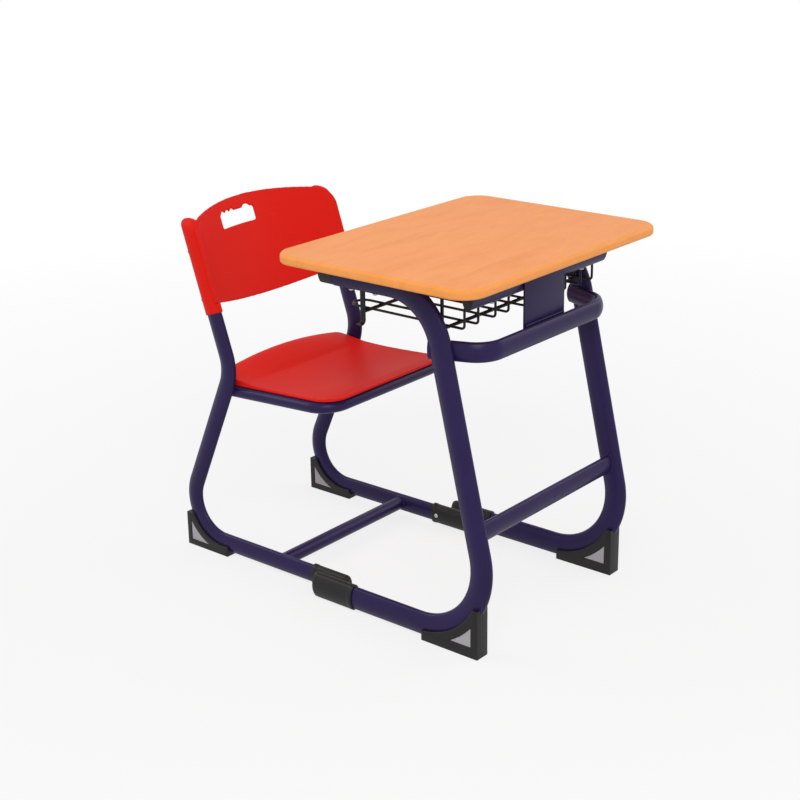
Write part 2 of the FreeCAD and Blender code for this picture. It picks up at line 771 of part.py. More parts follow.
def back_rivet_bore(x, height):
    """Hole through the rear of the pocket and of the upright."""
    start = upright_point(height) + Vector(x, 0, 0)
    reach = chair_tube_depth / 2 + sleeve_clearance + sleeve_wall + back_rivet_head_height
    return rod(start, start - back_front * reach, back_rivet_diameter)


def backrest_rivets():
    rivets = []
    face = chair_tube_depth / 2 + sleeve_clearance + sleeve_wall
    for side in (-1, 1):
        for height in back_rivet_heights:
            seat = upright_point(height) + Vector(side * chair_frame_x, 0, 0)
            shank = rod(seat - back_front * (chair_tube_depth / 2 - chair_tube_wall - back_rivet_tail),
                        seat - back_front * (face + back_rivet_head_height / 2), back_rivet_diameter)
            head = Part.makeCone(back_rivet_head / 2, back_rivet_head / 3, back_rivet_head_height,
                                 seat - back_front * face, back_front * -1)
            rivets.append(shank.fuse(head))
    return Part.makeCompound(rivets)


# ---------------------------------------------------------------- couplers
coupler_desk_screw_y = (coupler_desk_front + coupler_chair_front) / 2
coupler_chair_screw_y = (coupler_chair_rear + coupler_desk_rear) / 2


def coupler_screw_shank(x, y):
    """Bore for the screw that locks a rail in its coupler, from the inner side."""
    inward = -1 if x > 0 else 1
    reach = desk_tube_width + coupler_wall
    return rod(Vector(x, y, rail_height), Vector(x + inward * reach, y, rail_height), coupler_screw_diameter)


def rail_coupler():
    """Twin-socket block, right-hand side."""
    along = Vector(0, 1, 0)
    normal = Vector(1, 0, 0)
    grow = 2 * (coupler_clearance + coupler_wall)
    fit = 2 * coupler_clearance

    def barrel(x, width, depth, front, rear, extra):
        start = Vector(x, front, rail_height)
        return section(start, along, normal, width + extra, depth + extra, 0).extrude(along * (rear - front))

    desk_socket = barrel(desk_frame_x, desk_tube_width, desk_tube_depth,
                         coupler_desk_front, coupler_desk_rear, 2 * coupler_wall)
    chair_socket = barrel(chair_frame_x, chair_tube_width, chair_tube_depth,
                          coupler_chair_front, coupler_chair_rear, grow)
    web = block((chair_frame_x, desk_frame_x), (coupler_chair_front, coupler_desk_rear),
                (rail_height - coupler_web_depth / 2, rail_height + coupler_web_depth / 2))
    body = desk_socket.fuse([chair_socket, web])
    body = body.cut(barrel(desk_frame_x, desk_tube_width, desk_tube_depth,
                           coupler_desk_front - 1, desk_rail_end + coupler_clearance, fit))
    body = body.cut(barrel(chair_frame_x, chair_tube_width, chair_tube_depth,
                           chair_rail_end - coupler_clearance, coupler_chair_rear + 1, fit))
    body = body.cut(coupler_screw_shank(desk_frame_x, coupler_desk_screw_y))
    body = body.cut(coupler_screw_shank(chair_frame_x, coupler_chair_screw_y))
    return body


def coupler_screws():
    screws = []
    for x, y, half in ((desk_frame_x, coupler_desk_screw_y, desk_tube_width / 2),
                       (chair_frame_x, coupler_chair_screw_y, chair_tube_width / 2)):
        face = x - half - coupler_clearance - coupler_wall
        shank = rod(Vector(x - half + coupler_screw_tail, y, rail_height),
                    Vector(face - coupler_screw_head_height / 2, y, rail_height), coupler_screw_diameter)
        head = Part.makeCone(coupler_screw_head / 2, coupler_screw_head / 3, coupler_screw_head_height,
                             Vector(face, y, rail_height), Vector(-1, 0, 0))
        screw = shank.fuse(head)
        screws += [screw, mirrored(screw)]
    return Part.makeCompound(screws)


# ---------------------------------------------------------------- shoes
def side_prism(points, x, width):
    """Extrude a side-plane outline across the tube, centred on x."""
    corners = [Vector(x - width / 2, y, z) for y, z in points]
    wire = Part.makePolygon(corners + [corners[0]])
    return Part.Face(wire).extrude(Vector(width, 0, 0))


def disc(centre, radius, x, width):
    """Cylinder across the side plane about a bend centre."""
    return Part.makeCylinder(radius, width, Vector(x - width / 2, centre[0], centre[1]), Vector(1, 0, 0))


def shoe_block(centre, face, tip, top, cover, x, width, outward):
    """Wedge that fills the outside of a bend down to the floor."""
    sole_end = face - outward * tip
    points = [(sole_end, 0), (face, 0), (face, top), (centre[0], top), (sole_end, rail_height)]
    wedge = side_prism(points, x, width)
    return wedge.cut(disc(centre, cover, x, width + 2))


def inset_block(centre, rim_y, sill, radius, x, width):
    """Triangular inset between the shoe's face, its sill and a curve round the bend."""
    points = [(centre[0], sill), (rim_y, sill), (rim_y, centre[1]), (centre[0], centre[1])]
    wedge = side_prism(points, x, width)
    return wedge.cut(disc(centre, radius, x, width + 2))


def front_inset(width, shrink):
    radius = desk_lower_bend_radius + desk_tube_depth / 2 + inset_margin + shrink
    return inset_block(front_bend_centre, front_shoe_face + front_inset_rim + shrink,
                       front_inset_sill + shrink, radius, desk_frame_x, width)


def rear_inset(width, shrink):
    radius = chair_lower_bend_radius + chair_tube_depth / 2 + inset_margin + shrink
    return inset_block(rear_bend_centre, rear_edge - rear_shoe_setback - rear_inset_rim - shrink,
                       rear_inset_sill + shrink, radius, chair_frame_x, width)


def front_shoe():
    shoe = shoe_block(front_bend_centre, front_shoe_face, front_shoe_tip, front_shoe_top,
                      desk_lower_bend_radius + front_shoe_cover, desk_frame_x, front_shoe_width, -1)
    shoe = shoe.cut(desk_frame_body(desk_frame_x, 0, shoe_clearance))
    return shoe.cut(front_inset(front_shoe_width + 2, 0.0))


def rear_shoe():
    face = rear_edge - rear_shoe_setback
    shoe = shoe_block(rear_bend_centre, face, rear_shoe_tip, rear_shoe_top,
                      chair_lower_bend_radius + rear_shoe_cover, chair_frame_x, rear_shoe_width, 1)
    shoe = shoe.cut(chair_frame_body(chair_frame_x, 0, shoe_clearance))
    return shoe.cut(rear_inset(rear_shoe_width + 2, 0.0))


# ---------------------------------------------------------------- basket
def basket_loop(centre):
    """One hairpin of wire: two floor wires, a turn at the rear and an upturned front."""
    gauge = basket_loop_gauge / 2
    top = basket_floor + basket_riser
    turn = gauge
    left, right = centre - gauge, centre + gauge
    sides = []
    for x in (left, right):
        points = [Vector(x, basket_rear_y - turn, basket_floor), Vector(x, basket_front_y, basket_floor),
                  Vector(x, basket_front_y, top - basket_wire_bend)]
        sides.append(bent(points, [basket_wire_bend], Vector(1, 0, 0), basket_wire, basket_wire))
    rear_start = Vector(left, basket_rear_y - turn, basket_floor)
    ring = section(rear_start, Vector(0, 1, 0), Vector(0, 0, 1), basket_wire, basket_wire, 0)
    sides.append(ring.revolve(Vector(centre, basket_rear_y - turn, basket_floor), Vector(0, 0, -1), 180))
    low = top - basket_wire_bend
    bridge = [Vector(left, basket_front_y, low), Vector(left, basket_front_y, top),
              Vector(right, basket_front_y, top), Vector(right, basket_front_y, low)]
    sides.append(bent(bridge, [basket_wire_bend - 0.01] * 2, Vector(0, 1, 0), basket_wire, basket_wire))
    return sides[0].fuse(sides[1:])


rod_height = basket_floor - basket_wire / 2 - basket_rod / 2
rod_x = desk_frame_x - desk_tube_width / 2 - basket_rod / 2
hanger_x = desk_frame_x - desk_tube_width / 2 - hanger_thickness / 2


def basket_front_rod():
    """Front rod whose ends turn up against the desk frames."""
    y = basket_front_rod_y
    points = [Vector(-rod_x, y, desk_underside), Vector(-rod_x, y, rod_height),
              Vector(rod_x, y, rod_height), Vector(rod_x, y, desk_underside)]
    return bent(points, [basket_rod_bend] * 2, Vector(0, 1, 0), basket_rod, basket_rod)


def basket_rear_rod():
    half = hanger_x - hanger_thickness / 2
    return rod(Vector(-half, basket_rear_rod_y, rod_height),
               Vector(half, basket_rear_rod_y, rod_height), basket_rod)


def basket_hanger():
    """Flat strap from the desktop to the rear rod, ending in a bag hook; right-hand side."""
    radius = hanger_hook_radius
    low = hanger_bottom + radius
    start = Vector(hanger_x, basket_rear_rod_y, low)
    half_width, half_thick = hanger_width / 2, hanger_thickness / 2
    strap = block((hanger_x - half_thick, hanger_x + half_thick),
                  (basket_rear_rod_y - half_width, basket_rear_rod_y + half_width), (low, desk_underside))
    corners = [start + Vector(way * half_thick, side * half_width, 0)
               for way, side in ((-1, -1), (1, -1), (1, 1), (-1, 1))]
    foot = Part.makePolygon(corners + corners[:1])
    hook = Part.Face(foot).revolve(start + Vector(radius, 0, 0), Vector(0, -1, 0), hanger_hook_turn)
    return strap.fuse(hook)


# ---------------------------------------------------------------- build
def build():
    os.makedirs("parts", exist_ok=True)
    save(desktop_board(), "desktop_board")
    save(desktop_edge_band(), "desktop_edge_band")
    save(desktop_screws(), "desktop_screws")
    save(desktop_front_rail(), "desktop_front_rail")
    save(front_rail_caps(), "front_rail_end_caps")
    save(crossbar_support_plate(), "crossbar_support_plate")
    save(desk_crossbar(), "desk_crossbar")
    save(footrest_tube(), "footrest_tube")
    save(floor_cross_tube(), "floor_cross_tube")
    save(seat_support_tube(), "seat_support_tube")
    save(seat_shell(), "seat_shell")
    save(seat_screws(), "seat_screws")
    save(backrest_shell(), "backrest_shell")
    save(backrest_rivets(), "backrest_rivets")
    save(coupler_screws(), "coupler_screws")
    save(basket_front_rod(), "basket_front_rod")
    save(basket_rear_rod(), "basket_rear_rod")
    first = -(basket_loops - 1) / 2
    for index in range(basket_loops):
        save(basket_loop((first + index) * basket_loop_pitch), "basket_wire_loop_%d" % (index + 1))
    for side, name in ((-1, "left"), (1, "right")):
        save(desk_frame(side * desk_frame_x), "desk_frame_" + name)
        save(desk_end_plug(side * desk_frame_x), "desk_frame_plug_" + name)
        save(chair_frame(side * chair_frame_x), "chair_frame_" + name)
    pairs = {"rail_coupler": rail_coupler(), "front_shoe": front_shoe(), "rear_shoe": rear_shoe(),
             "front_shoe_inset": front_inset(front_shoe_width - 2 * inset_recess, inset_clearance),
             "rear_shoe_inset": rear_inset(rear_shoe_width - 2 * inset_recess, inset_clearance),
             "basket_hanger": basket_hanger()}
    for name, shape in pairs.items():
        save(shape, name + "_right")
        save(mirrored(shape), name + "_left")


build()
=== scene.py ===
"""Looks of the student desk chair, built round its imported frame.

Every mesh is worked out in millimetres in the frame's own axes: +X across the desk, -Y the way
the sitter faces, +Z up. Form.piece scales it to metres, hides the CAD node that it stands for and
lets it ride on the frame.
"""

import logging
import math
import random
from dataclasses import dataclass, field
from enum import Enum
from typing import Callable, Iterable, Sequence

import bmesh
import bpy
from mathutils import Matrix, Vector
from mathutils.bvhtree import BVHTree


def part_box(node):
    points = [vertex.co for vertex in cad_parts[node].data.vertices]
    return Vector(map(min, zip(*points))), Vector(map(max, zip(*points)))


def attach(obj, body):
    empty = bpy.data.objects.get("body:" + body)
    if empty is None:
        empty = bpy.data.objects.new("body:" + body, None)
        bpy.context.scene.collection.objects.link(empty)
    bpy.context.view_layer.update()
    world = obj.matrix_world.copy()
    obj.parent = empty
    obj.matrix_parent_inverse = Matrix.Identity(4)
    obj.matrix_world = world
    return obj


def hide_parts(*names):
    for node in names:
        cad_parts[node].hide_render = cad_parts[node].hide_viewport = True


log = logging.getLogger("desk_chair")
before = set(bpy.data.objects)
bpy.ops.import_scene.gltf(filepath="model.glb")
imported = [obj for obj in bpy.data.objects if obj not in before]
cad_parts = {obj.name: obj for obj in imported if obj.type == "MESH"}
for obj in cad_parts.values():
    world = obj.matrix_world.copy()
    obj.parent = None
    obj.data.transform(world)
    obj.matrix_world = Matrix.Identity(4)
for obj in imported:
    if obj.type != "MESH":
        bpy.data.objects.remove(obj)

MM = 0.001
X = Vector((1.0, 0.0, 0.0))
Y = Vector((0.0, 1.0, 0.0))
Z = Vector((0.0, 0.0, 1.0))
BODY = "root"

OVAL_FULLNESS = 0.37      # how much an oval tube's ends are drawn in, as a share of its flatness
ROUND_ENOUGH = 1e-6       # an oval flatter than this is drawn as a circle
SLAB_WELD = 0.01          # points of a plate that are nearer than this become one
SLAB_CUT = 0.001          # a plate's point this near to a cut lies on it
PIECE_WELD = 0.002        # the same for a finished piece

DESK_TUBE_POINTS = 64     # points round each kind of section
CHAIR_TUBE_POINTS = 60
BAR_POINTS = 56
ROUND_TUBE_POINTS = 48
SEAM_POINTS = 40
ROD_POINTS = 24
WIRE_POINTS = 16
SPOT_POINTS = 12
BEAD_POINTS = 10
HEAD_POINTS = 48

CAST_CREASE = 50.0        # degrees over which an edge stays sharp, by kind of piece
BEAD_CREASE = 60.0
MELTED_CREASE = 80.0
HEAD_CREASE = 40.0

SHOE_FACE = 2.0           # how far a shoe stands out past the tube's bend

Colour = tuple[float, float, float]
Ring = list[Vector]
Place = Callable[[float, float, float], Vector]


class Side(Enum):
    """The sitter's left or right."""

    LEFT = -1
    RIGHT = 1

    @property
    def label(self) -> str:
        """The word used in the names of nodes and pieces."""
        return self.name.lower()


class Slot(Enum):
    """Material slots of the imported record."""

    BOARD = "board"
    BAND = "edge_band"
    FRAME = "frame"
    MOULDING = "moulding"
    INSET = "inset"
    SHELL = "shell"
    WIRE = "wire"
    FASTENER = "fastener"
    RIVET = "rivet"


# ------------------------------------------------------------------ shader maths


def linear(red: float, green: float, blue: float) -> Colour:
    """Turn a display colour into the linear colour that shaders take.

    Args:
        red: Red from 0 to 255.
        green: Green from 0 to 255.
        blue: Blue from 0 to 255.

    Returns:
        The linear colour.
    """
    def channel(level: float) -> float:
        """One channel, by the sRGB curve."""
        share = level / 255.0
        return share / 12.92 if share <= 0.04045 else ((share + 0.055) / 1.055) ** 2.4

    return channel(red), channel(green), channel(blue)


class Value:
    """A shader socket that takes part in arithmetic."""

    def __init__(self, graph: "Graph", socket: bpy.types.NodeSocket) -> None:
        """Wrap an output socket of a graph."""
        self.graph = graph
        self.socket = socket

    def _math(self, operation: str, first: object, second: object) -> "Value":
        """Add one Math node."""
        return self.graph.node("ShaderNodeMath", {"operation": operation}, {0: first, 1: second})

    def __add__(self, other: object) -> "Value":
        """Sum."""
        return self._math("ADD", self, other)

    __radd__ = __add__

    def __sub__(self, other: object) -> "Value":
        """Difference."""
        return self._math("SUBTRACT", self, other)

    def __rsub__(self, other: object) -> "Value":
        """Difference with the socket on the right."""
        return self._math("SUBTRACT", other, self)

    def __mul__(self, other: object) -> "Value":
        """Product."""
        return self._math("MULTIPLY", self, other)

    __rmul__ = __mul__

    def __truediv__(self, other: object) -> "Value":
        """Quotient."""
        return self._math("DIVIDE", self, other)

    def clamped(self) -> "Value":
        """The value held between 0 and 1."""
        return self.graph.node("ShaderNodeClamp", {}, {0: self})


class Graph:
    """The node tree of one material."""

    def __init__(self, name: str) -> None:
        """Start an empty material.

        Args:
            name: The material's name.
        """
        self.material = bpy.data.materials.new(name)
        self.material.use_nodes = True
        self.tree = self.material.node_tree
        self.tree.nodes.clear()
        self.output = self.tree.nodes.new("ShaderNodeOutputMaterial")

    def node(self, kind: str, settings: dict, inputs: dict, out: int | str = 0) -> Value:
        """Add a node.

        Args:
            kind: The node's type.
            settings: Properties set before the sockets, or a ramp's stops under "stops".
            inputs: Socket name or number to a value or a link.
            out: The output that the result stands for.

        Returns:
            The chosen output.
        """
        made = self.tree.nodes.new(kind)
        for key, setting in settings.items():
            if key == "stops":
                self._set_stops(made.color_ramp, setting)
            else:
                setattr(made, key, setting)
        for key, given in inputs.items():
            if isinstance(given, Value):
                self.tree.links.new(given.socket, made.inputs[key])
            else:
                made.inputs[key].default_value = given
        return Value(self, made.outputs[out])

    @staticmethod
    def _set_stops(ramp: bpy.types.ColorRamp, stops: Sequence[tuple[float, Colour]]) -> None:
        """Lay a ramp's stops.

        Args:
            ramp: The ramp.
            stops: Place and colour of each stop, in order.
        """
        while len(ramp.elements) < len(stops):
            ramp.elements.new(0.5)
        for element, (place, colour) in zip(ramp.elements, stops):
            element.position = place
            element.color = (*colour, 1.0)

    def coordinates(self, stretch: Sequence[float] = (1.0, 1.0, 1.0)) -> Value:
        """Places in the row frame, in metres.

        Args:
            stretch: Factor along each axis.

        Returns:
            The stretched coordinates.
        """
        place = self.node("ShaderNodeTexCoord", {}, {}, "Object")
        return self.node("ShaderNodeVectorMath", {"operation": "MULTIPLY"}, {0: place, 1: tuple(stretch)})

    def noise(self, scale: float, detail: float, stretch: Sequence[float] = (1.0, 1.0, 1.0),
              distortion: float = 0.0) -> Value:
        """Noise of a size.

        Args:
            scale: Features per metre.
            detail: Octaves.
            stretch: Factor along each axis.
            distortion: How much the noise is swirled.

        Returns:
            A value about 0.5.
        """
        return self.node("ShaderNodeTexNoise", {}, {
            "Vector": self.coordinates(stretch), "Scale": scale, "Detail": detail,
            "Roughness": 0.55, "Distortion": distortion})

    def mix(self, factor: object, first: object, second: object, blend: str = "MIX") -> Value:
        """Mix two colours.

        Args:
            factor: Share of the second.
            first: Colour or link.
            second: Colour or link.
            blend: The blend mode.

        Returns:
            The mixed colour.
        """
        sockets = {0: factor, 6: self._rgba(first), 7: self._rgba(second)}
        return self.node("ShaderNodeMix", {"data_type": "RGBA", "blend_type": blend}, sockets, 2)

    @staticmethod
    def _rgba(colour: object) -> object:
        """A colour with its alpha, or the link as it is."""
        return colour if isinstance(colour, Value) else (*colour, 1.0)

    def ramp(self, value: Value, stops: Sequence[tuple[float, Colour]]) -> Value:
        """Colour a value.

        Args:
            value: From 0 to 1.
            stops: Place and colour of each stop.

        Returns:
            The colour.
        """
        return self.node("ShaderNodeValToRGB", {"stops": stops}, {0: value})

    def bump(self, height: Value, strength: float, distance: float, under: Value | None = None) -> Value:
        """Bump from a height.

        Args:
            height: The height.
            strength: From 0 to 1.
            distance: Depth in metres.
            under: A coarser bump to add this one to.

        Returns:
            The normal.
        """
        inputs: dict = {"Height": height, "Strength": strength, "Distance": distance}
        if under is not None:
            inputs["Normal"] = under
        return self.node("ShaderNodeBump", {}, inputs)

    def principled(self, fixed: dict, varying: dict) -> bpy.types.Material:
        """Close the material with one principled shader.

        Args:
            fixed: Sockets with one value all over.
            varying: Sockets fed by links.

        Returns:
            The material.
        """
        shader = self.node("ShaderNodeBsdfPrincipled", {}, {**fixed, **varying})
        self.tree.links.new(shader.socket, self.output.inputs["Surface"])
        return self.material


# ------------------------------------------------------------------ finishes


@dataclass(frozen=True)
class Laminate:
    """Printed wood-grain laminate under a satin lacquer."""

    name: str
    pale: Colour
    warm: Colour
    dark: Colour
    gold: Colour
    roughness: float = 0.46
    gloss: float = 0.12
    cloud_scale: float = 5.0
    figure_scale: float = 26.0
    fibre_scale: float = 420.0
    pore_scale: float = 900.0
    blotch_scale: float = 95.0

    def build(self) -> bpy.types.Material:
        """Make the material, with its grain along X.

        Returns:
            The material.
        """
        graph = Graph(self.name)
        cloud = graph.noise(self.cloud_scale, 3.0, (0.6, 1.3, 1.0))
        figure = graph.noise(self.figure_scale, 5.0, (0.16, 1.0, 1.0), 0.6)
        fibre = graph.noise(self.fibre_scale, 3.0, (0.05, 1.0, 1.0))
        pores = graph.noise(self.pore_scale, 2.0, (0.035, 1.0, 1.0))
        tone = graph.ramp((cloud * 0.62 + figure * 0.38).clamped(),
                          ((0.34, self.warm), (0.50, self.pale), (0.66, self.warm)))
        streak = ((figure - 0.52) * 5.0).clamped() * 0.16 + ((fibre - 0.5) * 3.0).clamped() * 0.22
        tone = graph.mix(streak.clamped(), tone, self.dark)
        specks = ((pores - 0.62) * 9.0).clamped()
        tone = graph.mix(specks * 0.22, tone, self.dark)
        blotch = graph.noise(self.blotch_scale, 4.0, (0.5, 1.0, 1.0), 0.4)
        tone = graph.mix(((blotch - 0.54) * 6.0).clamped() * 0.30, tone, self.gold)
        height = fibre * 0.6 + pores * 0.4
        return graph.principled(
            {"IOR": 1.46, "Specular IOR Level": self.gloss},
            {"Base Color": tone, "Roughness": self.roughness + (fibre - 0.5) * 0.12 + specks * 0.10,
             "Normal": graph.bump(height, 0.10, 0.00025)})


@dataclass(frozen=True)
class PowderCoat:
    """Baked powder coat with a fine orange peel."""

    name: str
    colour: Colour
    lift: Colour
    roughness: float = 0.34
    peel: float = 700.0
    gloss: float = 0.17
    cloud_scale: float = 9.0
    scuff_scale: float = 60.0

    def build(self) -> bpy.types.Material:
        """Make the material.

        Returns:
            The material.
        """
        graph = Graph(self.name)
        cloud = graph.noise(self.cloud_scale, 3.0)
        peel = graph.noise(self.peel, 2.0)
        scuff = graph.noise(self.scuff_scale, 6.0, (1.0, 1.0, 0.35), 1.2)
        rubbed = ((scuff - 0.63) * 8.0).clamped()
        tone = graph.mix(cloud, self.colour, self.lift)
        tone = graph.mix(rubbed * 0.35, tone, self.lift)
        return graph.principled(
            {"IOR": 1.52, "Specular IOR Level": self.gloss},
            {"Base Color": tone, "Roughness": self.roughness + (cloud - 0.5) * 0.10 + rubbed * 0.16,
             "Normal": graph.bump(peel, 0.12, 0.0003)})


@dataclass(frozen=True)
class Moulding:
    """Moulded plastic with a spark-eroded grain."""

    name: str
    colour: Colour
    rubbed: Colour
    roughness: float = 0.42
    grain: float = 1500.0
    depth: float = 0.16
    gloss: float = 0.3
    cloud_scale: float = 7.0
    wear_scale: float = 38.0

    def build(self) -> bpy.types.Material:
        """Make the material.

        Returns:
            The material.
        """
        graph = Graph(self.name)
        cloud = graph.noise(self.cloud_scale, 3.0)
        grain = graph.noise(self.grain, 3.0)
        wear = graph.noise(self.wear_scale, 7.0, (1.0, 1.0, 1.0), 0.8)
        faded = ((wear - 0.60) * 7.0).clamped()
        tone = graph.mix((cloud * 0.45 + faded * 0.35).clamped(), self.colour, self.rubbed)
        tone = graph.mix(((grain - 0.58) * 4.0).clamped() * 0.10, tone, self.rubbed)
        return graph.principled(
            {"IOR": 1.49, "Specular IOR Level": self.gloss},
            {"Base Color": tone, "Roughness": self.roughness + (grain - 0.5) * 0.10 + faded * 0.08,
             "Normal": graph.bump(grain, self.depth, 0.00022)})


@dataclass(frozen=True)
class Plated:
    """Zinc plate or dark oxide on a fastener."""

    name: str
    colour: Colour
    stain: Colour
    metallic: float = 0.9
    roughness: float = 0.38
    bloom_scale: float = 240.0
    turning_scale: float = 1800.0

    def build(self) -> bpy.types.Material:
        """Make the material.

        Returns:
            The material.
        """
        graph = Graph(self.name)
        bloom = graph.noise(self.bloom_scale, 5.0, (1.0, 1.0, 1.0), 0.7)
        turned = graph.noise(self.turning_scale, 2.0, (1.0, 1.0, 0.1))
        stained = ((bloom - 0.5) * 4.0).clamped()
        tone = graph.mix(stained * 0.6, self.colour, self.stain)
        return graph.principled(
            {"IOR": 1.5},
            {"Base Color": tone, "Metallic": self.metallic - stained * 0.2,
             "Roughness": self.roughness + stained * 0.2,
             "Normal": graph.bump(turned, 0.15, 0.0001)})


class Finishes:
    """One material for each slot."""

    def __init__(self) -> None:
        """Build every finish of the desk and chair."""
        black, black_rubbed = linear(20, 18, 18), linear(38, 35, 36)
        made = {
            Slot.BOARD: Laminate("beech_laminate", pale=linear(244, 158, 96), warm=linear(239, 149, 84),
                                 dark=linear(204, 113, 56), gold=linear(244, 170, 82)),
            Slot.BAND: Laminate("moulded_beech_edge", pale=linear(244, 160, 88), warm=linear(240, 152, 74),
                                dark=linear(208, 118, 50), gold=linear(246, 174, 76), roughness=0.42),
            Slot.FRAME: PowderCoat("indigo_powder_coat", linear(32, 21, 62), linear(42, 30, 80)),
            Slot.MOULDING: Moulding("black_polypropylene", black, black_rubbed, roughness=0.46, grain=1300.0,
                                    depth=0.22),
            Slot.INSET: Moulding("grey_polypropylene", linear(176, 172, 178), linear(150, 146, 152),
                                 roughness=0.5),
            Slot.SHELL: Moulding("red_polypropylene", linear(219, 28, 19), linear(226, 40, 27),
                                 roughness=0.48, grain=1700.0, depth=0.12, gloss=0.07),
            Slot.WIRE: PowderCoat("black_wire_coat", linear(22, 20, 24), linear(36, 33, 40), roughness=0.34,
                                  peel=1100.0),
            Slot.FASTENER: Plated("zinc_plate", linear(190, 192, 196), linear(120, 122, 128)),
            Slot.RIVET: Plated("dark_oxide", linear(70, 68, 74), linear(38, 36, 40), metallic=0.8,
                               roughness=0.42),
        }
        self._materials = {slot: finish.build() for slot, finish in made.items()}

    def of(self, slot: Slot) -> bpy.types.Material:
        """The material of a slot."""
        return self._materials[slot]


# ------------------------------------------------------------------ routes and sections


def at(x: float, y: float, z: float) -> Vector:
    """A point in millimetres."""
    return Vector((x, y, z))


def turns(steps: int, span: float = math.pi / 2) -> list[float]:
    """Even angles from 0 to a span.

    Args:
        steps: Number of steps.
        span: The last angle, in radians.

    Returns:
        The angles, with both ends.
    """
    return [span * step / steps for step in range(steps + 1)]


def oval(across: float, along: float, count: int = ROUND_TUBE_POINTS) -> list[tuple[float, float]]:
    """Points of a four-arc oval, or of a circle.

    Args:
        across: Full size along the path's fixed normal.
        along: Full size at a right angle to it.
        count: Number of points.

    Returns:
        Offsets along the normal and at a right angle to it.
    """
    if across > along:
        turned = oval(along, across, count)
        start = 3 * count // 4
        return [(b, -a) for a, b in turned[start:] + turned[:start]]
    short, long = across / 2, along / 2
    if long - short < ROUND_ENOUGH:
        return [(short * math.cos(turn), short * math.sin(turn))
                for turn in (2 * math.pi * step / count for step in range(count))]
    end = short - OVAL_FULLNESS * (long - short)
    reach = long - end
    flank = (reach ** 2 + short ** 2 - end ** 2) / (2 * (short - end))
    join = math.atan2(flank - short, reach)
    quarter = []
    steps = count // 4
    half = steps // 2
    low = math.pi / 2 - join
    for step in range(half):
        turn = low * step / half
        quarter.append((short - flank + flank * math.cos(turn), flank * math.sin(turn)))
    for step in range(steps - half):
        turn = low + (math.pi / 2 - low) * step / (steps - half)
        quarter.append((end * math.cos(turn), reach + end * math.sin(turn)))
    first = [*quarter, (0.0, long)]
    second = [(-a, b) for a, b in reversed(quarter)]
    third = [(-a, -b) for a, b in quarter[1:]] + [(0.0, -long)]
    fourth = [(a, -b) for a, b in reversed(quarter[1:])]
    return first + second + third + fourth


def inset_oval(size: tuple[float, float], inset: float) -> list[tuple[float, float]]:
    """Points of an oval that lies evenly inside another.

    Args:
        size: Full sizes of the outer oval.
        inset: How far inside.

    Returns:
        Offsets, as oval gives them.
    """
    return oval(size[0] - 2 * inset, size[1] - 2 * inset, BAR_POINTS)


def rounded_bar(across: float, along: float, radius: float, per_corner: int = 4) -> list[tuple[float, float]]:
    """Points of a rectangle with rounded corners.

    Args:
        across: Full size along the path's fixed normal.
        along: Full size at a right angle to it.
        radius: Corner radius.
        per_corner: Steps in each corner.

    Returns:
        Offsets along the normal and at a right angle to it.
    """
    points = []
    for corner, (sign_a, sign_b) in enumerate(((1, 1), (-1, 1), (-1, -1), (1, -1))):
        for turn in (math.pi / 2 * (corner + step / per_corner) for step in range(per_corner + 1)):
            points.append((sign_a * (across / 2 - radius) + radius * math.cos(turn),
                           sign_b * (along / 2 - radius) + radius * math.sin(turn)))
    return points


@dataclass
class Station:
    """One place along a route, with the way the route heads there."""

    place: Vector
    heading: Vector


def bent_route(corners: Sequence[Vector], radii: Sequence[float], turn_step: float = 3.0) -> list[Station]:
    """Straight runs joined by tangent bends.

    Args:
        corners: The start, the corners and the end.
        radii: Centre-line radius at each corner.
        turn_step: Degrees between stations in a bend.

    Returns:
        The stations from start to end.
    """
    first = (corners[1] - corners[0]).normalized()
    stations = [Station(corners[0].copy(), first)]
    for index, radius in enumerate(radii, 1):
        before = (corners[index] - corners[index - 1]).normalized()
        after = (corners[index + 1] - corners[index]).normalized()
        angle = before.angle(after)
        axis = before.cross(after).normalized()
        entry = corners[index] - before * (radius * math.tan(angle / 2))
        centre = entry + axis.cross(before) * radius
        steps = max(2, math.ceil(math.degrees(angle) / turn_step))
        for step in range(steps + 1):
            turned = Matrix.Rotation(angle * step / steps, 3, axis)
            stations.append(Station(centre + turned @ (entry - centre), turned @ before))
    last = (corners[-1] - corners[-2]).normalized()
    stations.append(Station(corners[-1].copy(), last))
    return stations


def section_at(station: Station, profile: Sequence[tuple[float, float]], normal: Vector,
               scale: float = 1.0) -> Ring:
    """A profile set square on a route.

    Args:
        station: Where it stands.
        profile: Offsets along the normal and at a right angle to it.
        normal: The fixed normal of the route's plane.
        scale: Factor on the profile.

    Returns:
        The points of the section.
    """
    side = station.heading.cross(normal).normalized()
    return [station.place + normal * (a * scale) + side * (b * scale) for a, b in profile]


# ------------------------------------------------------------------ forms


